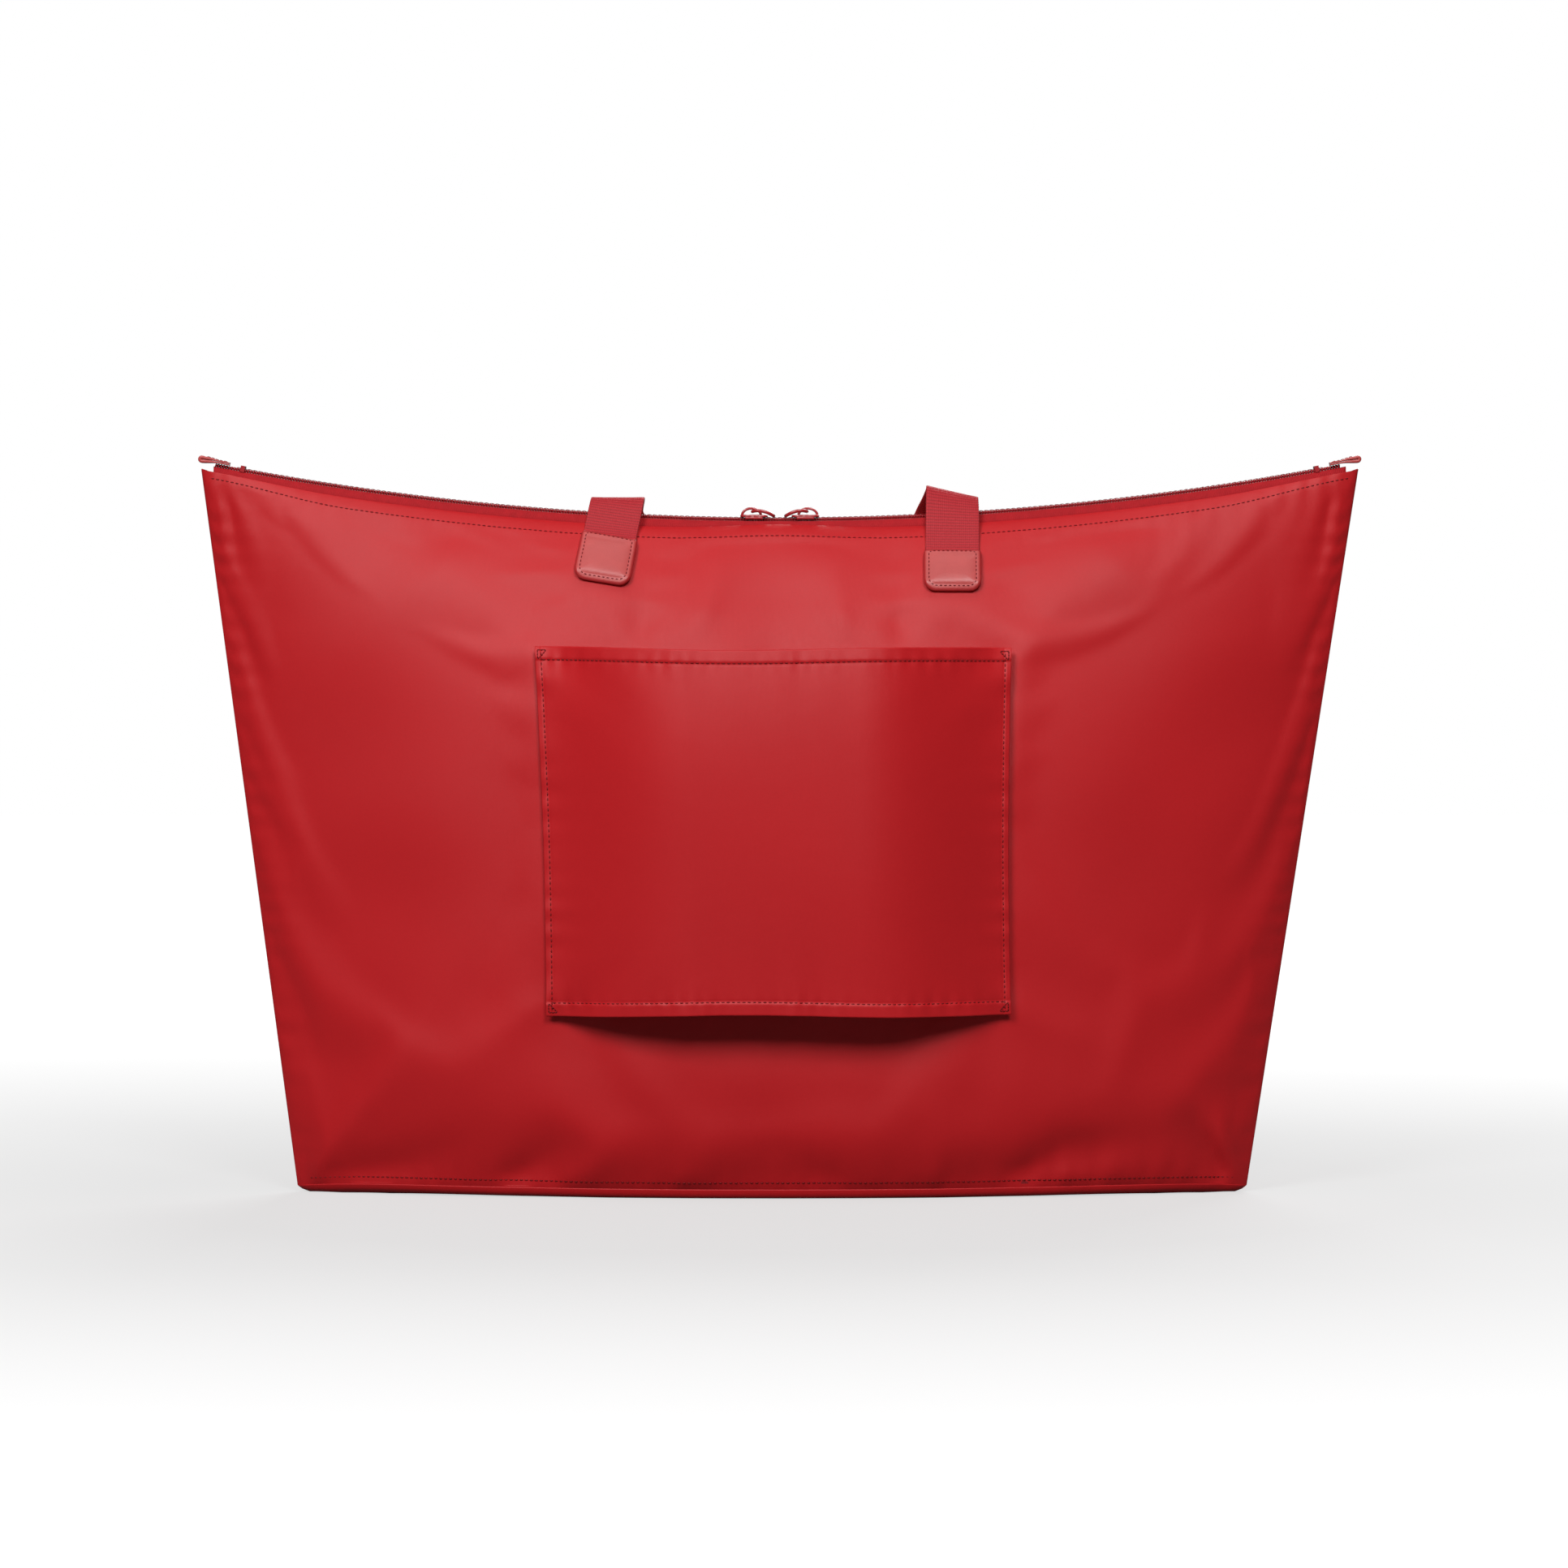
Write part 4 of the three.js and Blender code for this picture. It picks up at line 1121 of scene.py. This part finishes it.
def build_slider(end, sign):
    half = SLIDER_LENGTH / 2
    outline = rounded_outline(SLIDER_LENGTH, SLIDER_WIDTH, 2.6, SLIDER_WAIST)
    top = pad(outline, plate_profile(1.25, 2.3, 0.45))
    low = pad(rounded_outline(SLIDER_LENGTH, 4.8, 1.6), plate_profile(-3.0, -2.2, 0.3))
    # The closed coils fill the slider's middle, so its neck shows only above and below them.
    necks = [pad(rounded_outline(3, 0.9, 0.4) + np.array([1.5 - half, 0]), plate_profile(*reach, 0.1))
             for reach in ((-2.4, -1.2), (1.22, 1.5))]
    parts = [tube(at_spot(SLIDER_X, sign, g)) for g in (top, low, *necks)]
    for across in (-1, 1):
        y = across * (SLIDER_WIDTH / 2 - 0.45)
        x = np.linspace(-half + 2.4, half - 2.4, 14)
        drawn = y * (1 - SLIDER_WAIST * bump(x, 0, SLIDER_LENGTH * WAIST_LENGTH))
        flange = swept(points(x, drawn, 0.85), TO_FRONT, 0.36, 0.62)
        parts.append(tube(at_spot(SLIDER_X, sign, flange)))
    angle = np.linspace(-0.05, 1.05, 26) * math.pi
    arch = points(1.2 + 4.4 * np.cos(angle), 0.0, 2 + 3.35 * np.sin(angle))
    crown = swept(arch, TO_FRONT, 1.25, 0.62)
    parts.append(tube(at_spot(SLIDER_X, sign, crown)))
    slider = make_piece(f"slider_shell_{end}", gather(parts), ENAMEL,
                        body=f"slider_{end}")
    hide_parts(f"zip_slider_{end}")


def build_ring(end, sign):
    """A D ring: straight where it turns in the crown, round at its far end."""
    t = np.linspace(0, 2 * math.pi, 73)[:-1]
    c, s = np.cos(t), np.sin(t)
    x = 5 * (squarer(c, 0.7) - 1)
    out = -x / 10
    rise = RING_BOW * np.sin(math.pi * np.clip(out, 0, 1) ** 0.8) - RING_DROP * out**2
    middle = points(x, 4.3 * squarer(s, 0.7), rise)
    closed = np.concatenate([middle, middle[:1]])
    middle = resample(closed, np.linalg.norm(np.diff(closed, axis=0), axis=1).sum() / 90)[:-1]
    tangent = unit(np.roll(middle, -1, 0) - np.roll(middle, 1, 0))
    outward = unit(np.stack([tangent[:, 1], -tangent[:, 0], np.zeros(len(tangent))], 1))
    up = np.cross(tangent, outward)
    turn = turns(14)[None, :, None]
    grid = middle[:, None] + RING_WIRE * (np.cos(turn) * outward[:, None] + np.sin(turn) * up[:, None])
    grid = grid + np.array([RING_PIN[0], 0, RING_PIN[1]])
    ring = make_piece(f"d_ring_{end}", tube(at_spot(SLIDER_X, sign, grid), closed=False), ENAMEL,
                      body=f"ring_{end}")
    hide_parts(f"pull_ring_{end}")


def build_stop(end):
    """The crimped stop keeps its shape from the frame, with its edges eased."""
    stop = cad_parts[f"zip_stop_{end}"]
    stop.data.materials.clear()
    stop.data.materials.append(ENAMEL)
    ease = stop.modifiers.new("eased edges", "BEVEL")
    ease.width = 0.2 * MM
    ease.segments = 3


def build_tab(end, sign):
    """A strip of leather folded back on itself over the zip's end, thick at the fold."""
    bend, half = 12.5, 4.0
    x = np.linspace(-0.5, bend, 40)
    over = 2.75 + 0.8 * smoothstep(x, 3, 12) + 0.08 * np.sin(x)
    under = 1.2 - 1.3 * smoothstep(x, 4.5, 14.5)
    thick = (over - under) / 2 - 0.04
    top, low = over - thick / 2, under + thick / 2
    radius = (top[-1] - low[-1]) / 2
    angle = np.radians(np.linspace(90, -90, 16)[1:-1])
    turned = points(bend + radius * np.cos(angle), 0, low[-1] + radius * (1 + np.sin(angle)))
    path = np.concatenate([points(x, 0, top), turned, points(x[::-1], 0, low[::-1])])
    half_thick = np.concatenate([thick, np.full(len(turned), thick[-1]), thick[::-1]]) / 2
    grid = swept(path, TO_FRONT, half, half_thick, 0.3, 20)
    leaf = tube(at_spot(ZIP_HALF_LENGTH, sign, grid))
    tab = make_piece(f"end_tab_leaf_{end}", leaf, LEATHER)
    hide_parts(f"zip_end_tab_{end}")
    stitches = []
    along = np.linspace(0.6, bend - 2, 12)
    for row in (-1, 1):
        line = points(along, row * 2.85, np.interp(along, x, over) + 0.02)
        path = at_spot(ZIP_HALF_LENGTH, sign, line)
        stitches.append(stitch_row(path, np.tile(UP, (12, 1)), 2.2, 1.6, 0.2))
    sewn(f"end_tab_stitches_{end}", stitches, THREAD_DARK)


# ---- Handles ----------------------------------------------------------------------------

ARCH_Z = float(zip_height(STRAP_X)) + ARCH_HEIGHT
TURN_ROLL = math.radians(13)  # the back handle's right end turns over with its inner edge higher
TURN_REACH = 13
HANDLE_ENDS = {
    "back": {"right": (80.6, 0, ARCH_Z), "left": (-75.6, 0, ARCH_Z)},
    "front": {"right": (STRAP_X, 19.3, 306.8), "left": (-STRAP_X, 19.3, 306.8)},
}

# The right leg of each loop, from below the turn down to the middle of the grip.
BACK_LEG = [(76.5, 20, 317), (72, 31, 306), (65, 39.5, 292), (55, 51, 270), (43, 65.5, 240),
            (33, 79.5, 205), (26, 88, 170), (17, 92, 145), (0, 93, 134)]
FRONT_LEG = [(81.3, 28, 301), (81.5, 34, 290), (81.5, 41, 275), (80, 55, 245), (77, 68, 210),
             (71, 79, 175), (60, 87, 138), (38, 92.5, 106), (0, 94.5, 94)]


def strap_lean(side, end):
    return LEFT_LEAN if side is BACK and end == "left" else 0.0


def strap_x(side, end, z):
    """Width of a strap end's middle at height z."""
    slope = math.tan(strap_lean(side, end))
    return HANDLE_ENDS[side["name"]][end][0] - slope * (ARCH_Z - np.asarray(z, float))


def bezier(a, b, c, d, t):
    t = t[:, None]
    return a * (1 - t) ** 3 + 3 * b * t * (1 - t) ** 2 + 3 * c * t**2 * (1 - t) + d * t**3


def sewn_end(side, end):
    """The strap from its foot, flat on the panel, up to the line that the handle turns about."""
    low, high = patch_span(side, end)
    z = np.linspace(low + STRAP_FOOT - PATCH_LOW, high + 1, 24)
    flat = on_panel(side, strap_x(side, end, z), z, 0.3 + STRAP_THICKNESS / 2)
    rise = unit(flat[-1] - flat[-3])
    top = np.array(HANDLE_ENDS[side["name"]][end], float)
    lift, reach = (9, 8) if side is BACK else (4, 4)
    controls = flat[-1] + rise * lift, top - TO_FRONT * reach
    turn = bezier(flat[-1], *controls, top, np.linspace(0, 1, 40))
    return np.concatenate([flat, turn[1:]])


def centripetal(knots, count=40):
    """A smooth curve through points, of the same kind as the part's own."""
    knots = np.asarray(knots, float)
    knots = np.concatenate([[2 * knots[0] - knots[1]], knots, [2 * knots[-1] - knots[-2]]])
    curve = []
    for a, b, c, d in zip(knots, knots[1:], knots[2:], knots[3:]):
        dt = [max(np.linalg.norm(q - p), 1e-6) ** 0.5 for p, q in ((a, b), (b, c), (c, d))]
        m1 = ((b - a) / dt[0] - (c - a) / (dt[0] + dt[1]) + (c - b) / dt[1]) * dt[1]
        m2 = ((c - b) / dt[1] - (d - b) / (dt[1] + dt[2]) + (d - c) / dt[2]) * dt[1]
        t = np.linspace(0, 1, count, endpoint=False)[:, None]
        curve.append((2 * t**3 - 3 * t**2 + 1) * b + (t**3 - 2 * t**2 + t) * m1
                     + (3 * t**2 - 2 * t**3) * c + (t**3 - t**2) * m2)
    return np.concatenate(curve + [knots[-2][None]])


def loop_line(side):
    """The loose loop's middle line, from its right end to its left end."""
    ends = HANDLE_ENDS[side["name"]]
    leg = BACK_LEG if side is BACK else FRONT_LEG
    step = np.array([0, 5, -0.4])
    right, left = np.array(ends["right"], float), np.array(ends["left"], float)
    mirrored = [(-x, y, z) for x, y, z in leg[:-1]][::-1]
    return centripetal([right, right + step, *leg, *mirrored, left + step, left])


def strap_frames(side):
    """Middle, across and face directions all along one handle's webbing, from end to end."""
    ends = HANDLE_ENDS[side["name"]]
    right, left = sewn_end(side, "right"), sewn_end(side, "left")[::-1]
    loop = loop_line(side)
    middle = resample(np.concatenate([right, loop[1:-1], left]), STATION)
    lengths = [np.linalg.norm(np.diff(run, axis=0), axis=1).sum() for run in (right, loop, left)]
    tangent = unit(np.gradient(middle, axis=0))
    from_turn = np.arange(len(middle)) * STATION - lengths[0]
    t = from_turn / lengths[1]
    outward = np.stack([np.zeros(len(middle)), middle[:, 1] - ends["right"][1],
                        np.maximum(middle[:, 2] - ends["right"][2] + 20, 0)], 1)
    outward = square_to(outward, tangent)
    sideways = np.cross(tangent, outward)
    twist = (smoothstep(0.5 - np.abs(t - 0.5), 0.08, 0.42) * math.pi / 2)[:, None]
    across = sideways * np.cos(twist) + outward * np.sin(twist)
    plain = np.array([1.0, 0, 0]) * np.where(t < 0.5, 1, -1)[:, None]
    plain = square_to(plain, tangent)
    on_bag = (1 - smoothstep(np.minimum(t, 1 - t), 0.0, 0.02))[:, None]
    across = unit(plain * on_bag + across * (1 - on_bag))
    across = square_to(across, tangent)
    face = np.cross(across, tangent)
    if side is BACK:
        near = bump(from_turn, 0, TURN_REACH)[:, None]
        middle = middle + UP * STRAP_WIDTH / 2 * math.sin(TURN_ROLL) * near
        c, s = np.cos(TURN_ROLL * near), np.sin(TURN_ROLL * near)
        across, face = across * c - face * s, face * c + across * s
    return middle, across, face, t


def webbing_solid(frames, begin, finish):
    """Ribbed webbing between two stations, each rib a low swelling across the whole width."""
    middle, across, face, _ = (part[begin:finish] for part in frames)
    station = np.arange(begin, finish)[:, None]
    turn = (np.arange(20) + 0.5) / 20 * 2 * math.pi
    c = squarer(np.cos(turn), 0.3)
    s = squarer(np.sin(turn), 0.45)
    rib = np.abs(np.sin(math.pi * station / 4))
    selvedge = 1 + 0.12 * smoothstep(np.abs(c), 0.86, 0.97)
    thick = STRAP_THICKNESS / 2 * (0.76 + 0.3 * rib) * selvedge
    wide = STRAP_WIDTH / 2 * (0.992 + 0.008 * rib) * c
    cup = 0.35 * (c**2 - 0.4)
    out = (s * thick + cup)[..., None]
    grid = middle[:, None] + across[:, None] * wide[..., None] + face[:, None] * out
    place = np.stack(np.broadcast_arrays(wide, station * STATION), -1).reshape(-1, 2)
    return tube(grid), np.concatenate([place, place[[0, -1]]])


def webbing_piece(name, solid, body, threads):
    return make_piece(name, solid, WEBBING, body=body, threads=threads)


def build_back_handle():
    """One length of webbing, sewn down behind at both ends and bending over the zip."""
    frames = strap_frames(BACK)
    solid, threads = webbing_solid(frames, 0, len(frames[0]))
    strap = webbing_piece("back_handle_webbing", solid, None, threads)
    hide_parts("back_handle", "back_strap_end_left", "back_strap_end_right")
    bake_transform(strap)


def build_front_handle():
    """The front webbing turns over just above its patches: two bent ends and the loop."""
    frames = strap_frames(FRONT)
    middle, t = frames[0], frames[3]
    hung = np.nonzero((t > 0) & (t < 1) & (middle[:, 1] > 26.5))[0]
    first, last = hung[0], hung[-1]
    solid, threads = webbing_solid(frames, first, last + 1)
    loop = webbing_piece("front_handle_webbing", solid, "handle_front", threads)
    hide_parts("front_handle")
    for end, begin, finish in (("right", 0, first + 1), ("left", last, len(middle))):
        solid, threads = webbing_solid(frames, begin, finish)
        turn = webbing_piece(f"front_handle_turn_{end}", solid, None, threads)
        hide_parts(f"front_strap_end_{end}")
        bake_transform(turn)


# ---- Leather patches --------------------------------------------------------------------


def patch_span(side, end):
    """Lowest and highest point of the leather patch over a strap end."""
    raised = side is BACK and end == "left"
    low = PATCH_LOW + (LEFT_LIFT if raised else 0)
    return low, low + PATCH_HIGH - PATCH_LOW + (LEFT_GROWTH if raised else 0)


def patch_outline(height, inset=0.0):
    """Square above and rounded at the lower corners, with the same count of points at any inset."""
    half = PATCH_WIDTH / 2
    corners = []
    kinds = ((1, 0, PATCH_CORNER), (1, 1, 1.2), (-1, 1, 1.2), (-1, 0, PATCH_CORNER))
    for k, (cx, up, radius) in enumerate(kinds):
        r = max(radius - inset, 0.2)
        angle = np.radians(-90 + 90 * k + np.linspace(0, 90, 9))
        x, z = cx * (half - inset - r), lerp(inset + r, height - inset - r, up)
        corners.append(np.stack([x + r * np.cos(angle), z + r * np.sin(angle)], 1))
    outline = []
    for here, following in zip(corners, corners[1:] + corners[:1]):
        t = np.linspace(0, 1, 26)[1:-1, None]
        outline += [here, lerp(here[-1], following[0], t)]
    return np.concatenate(outline)


# (inset, height, share of its size) of each ring round a patch.
PATCH_PROFILE = [
    (4.0, 0.1, 1), (0.6, 0.0, 1), (0.15, 0.15, 1), (0.0, 0.55, 1), (0.0, 1.0, 1), (0.12, 1.4, 1),
    (0.45, 1.68, 1), (0.9, 1.78, 1), (1.5, 1.8, 1), (2.2, 1.74, 1), (2.5, 1.68, 1), (2.8, 1.74, 1),
    (3.4, 1.84, 1), (4.2, 1.92, 1), (5.2, 2.0, 1), (5.2, 2.06, 0.8), (5.2, 2.1, 0.5), (5.2, 2.1, 0.2),
    (5.2, 2.1, 0.02),
]
PATCH_SEWING = (2.5, 1.9, 0.9)  # from the sides, the lower edge and the upper edge
EDGE_RINGS = (1, 7)  # rings that the edge paint covers


def patch_place(side, end, local):
    """Local across, up and height above the strap, laid on the bag."""
    lean = strap_lean(side, end)
    across, up, height = local[..., 0], local[..., 1], local[..., 2]
    foot, _ = patch_span(side, end)
    middle = float(strap_x(side, end, foot))
    x = middle + across * math.cos(lean) + up * math.sin(lean)
    z = foot + up * math.cos(lean) - across * math.sin(lean)
    settle_down = 1.25 * (1 - smoothstep(up, 0, 4.2)) + 0.5 * smoothstep(np.abs(across), 11.6, 13.2)
    flare = 0.5 * bump(np.hypot(np.abs(across) - 11.5, up - 1.5), 0, 3.0)
    return on_panel(side, x, z, 1.95 + height - settle_down + flare)


def build_patch(side, end):
    low, high = patch_span(side, end)
    height = high - low
    centre = np.array([0, height / 2])
    rings = []
    for inset, rise, share in PATCH_PROFILE:
        ring = lerp(centre, patch_outline(height, inset), share)
        rings.append(at_height(ring, rise))
    rings = np.stack(rings)
    vertices, faces = tube(patch_place(side, end, rings))
    patch = make_piece(f"leather_patch_{side['name']}_{end}", (vertices, faces), LEATHER)
    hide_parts(f"{side['name']}_patch_{end}")
    patch.data.materials.append(LEATHER_EDGE)
    ring_of = np.arange(len(vertices)) // rings.shape[1]
    for polygon in patch.data.polygons:
        lowest = min(ring_of[v] for v in polygon.vertices)
        polygon.material_index = int(EDGE_RINGS[0] <= lowest < EDGE_RINGS[1])
    inset, above, below = PATCH_SEWING
    line = patch_outline(height, inset)
    line[:, 1] = lerp(above, height - below, (line[:, 1] - inset) / (height - 2 * inset))
    closed = np.concatenate([line, line[:1]])
    low, high = (patch_place(side, end, at_height(closed, rise)) for rise in (1.66, 2.66))
    return stitch_row(low, high - low, 2.1, 1.5, 0.26)


# ---- Sewing along the panels ------------------------------------------------------------


def sew_panels():
    rows = []
    for side in (BACK, FRONT):
        rows.append(stitch_row(*side_top_line(side, 5.2)))
        across = np.linspace(-0.97, 0.97, 260)
        z = panel_foot(across) + 3.2
        x = across * half_width(z)
        low, high = on_panel(side, x, z, 0.02), on_panel(side, x, z, 1.0)
        rows.append(stitch_row(low, high - low))
    sewn("panel_stitches", rows, THREAD_RED)


# ---- Stage ------------------------------------------------------------------------------

VIEW_CENTRE = Vector((0.002, 0.0, 0.191))
VIEW_DISTANCE = 3.0
VIEW_WIDTH = 0.734
VIEW_TILT = math.radians(1.4)
FLOOR_REACH = 6.0
LIGHT_AIM = Vector((0, 0, 0.17))
WORLD_FILL = 0.07  # light from the white surroundings, which the camera sees at full strength


def build_camera():
    data = bpy.data.cameras.new("camera")
    data.sensor_width = 36
    data.lens = data.sensor_width * VIEW_DISTANCE / VIEW_WIDTH
    camera = bpy.data.objects.new("camera", data)
    away = Vector((0, -math.cos(VIEW_TILT), math.sin(VIEW_TILT))) * VIEW_DISTANCE
    camera.location = VIEW_CENTRE + away
    camera.rotation_euler = (-away).to_track_quat("-Z", "Y").to_euler()
    bpy.context.scene.collection.objects.link(camera)
    bpy.context.scene.camera = camera


def build_light(name, place, size, power):
    data = bpy.data.lights.new(name, "AREA")
    data.shape = "RECTANGLE"
    data.size, data.size_y = size
    data.energy = power
    light = bpy.data.objects.new(name, data)
    light.location = place
    light.rotation_euler = (LIGHT_AIM - Vector(place)).to_track_quat("-Z", "Y").to_euler()
    bpy.context.scene.collection.objects.link(light)


def build_stage():
    backdrop = Surface("backdrop_paper", (0.16, 0.16, 0.16, 1), 0.9, Specular_IOR_Level=0.1)
    where = backdrop.place()
    backdrop.relief((backdrop.noise(where, 30.0), 0.0005, 0.1))
    # To the camera the paper fades into the white background away from the bag.
    away = backdrop.node("VectorMath", {0: where}, operation="LENGTH").outputs["Value"]
    fade = {"Value": away, "From Min": 0.3, "From Max": 1.5, "To Min": 0.62, "To Max": 0.99}
    glow = backdrop.node("MapRange", fade)
    seen = backdrop.node("LightPath").outputs["Is Camera Ray"]
    backdrop.shader.inputs["Emission Color"].default_value = (1, 1, 1, 1)
    strength = backdrop.maths("MULTIPLY", glow.outputs["Result"], seen)
    backdrop.plug(strength, backdrop.shader.inputs["Emission Strength"])
    mesh = bpy.data.meshes.new("floor")
    corners = [(x * FLOOR_REACH, y * FLOOR_REACH, 0) for x, y in ((-1, -1), (1, -1), (1, 1), (-1, 1))]
    mesh.from_pydata(corners, [], [(0, 1, 2, 3)])
    floor = bpy.data.objects.new("floor", mesh)
    mesh.materials.append(backdrop.material)
    bpy.context.scene.collection.objects.link(floor)
    world = bpy.data.worlds.new("studio")
    world.use_nodes = True
    background = world.node_tree.nodes["Background"]
    background.inputs["Color"].default_value = (1, 1, 1, 1)
    path = world.node_tree.nodes.new("ShaderNodeLightPath")
    level = world.node_tree.nodes.new("ShaderNodeMapRange")
    level.inputs["To Min"].default_value = WORLD_FILL
    level.inputs["To Max"].default_value = 1.0
    world.node_tree.links.new(path.outputs["Is Camera Ray"], level.inputs["Value"])
    world.node_tree.links.new(level.outputs["Result"], background.inputs["Strength"])
    bpy.context.scene.world = world
    bpy.context.scene.view_settings.view_transform = "Standard"
    build_light("key_left", (-1.0, -2.2, 1.8), (0.9, 1.0), 41)
    build_light("key_right", (0.4, -2.4, 1.8), (0.6, 0.8), 32)
    build_light("top", (0, -0.4, 2.2), (1.4, 0.9), 8)
    build_light("rear", (0.6, 2.2, 1.5), (1.6, 1.2), 44)


# ---- The finished bag -------------------------------------------------------------------

build_camera()
build_stage()
for panel_side in (BACK, FRONT):
    cloth_panel = build_panel(panel_side)
build_base()
sew_panels()
build_sleeve()
sew_sleeve()
build_pocket()
build_bindings()
for panel_side in (BACK, FRONT):
    build_tape(panel_side)
    build_coil(panel_side)
sew_zip()
for end_name, end_sign in ENDS.items():
    build_slider(end_name, end_sign)
    build_ring(end_name, end_sign)
    build_stop(end_name)
    build_tab(end_name, end_sign)
build_back_handle()
build_front_handle()
patch_rows = [build_patch(patch_side, patch_end) for patch_side in (BACK, FRONT) for patch_end in ENDS]
sewn("patch_stitches", patch_rows, THREAD_DARK)
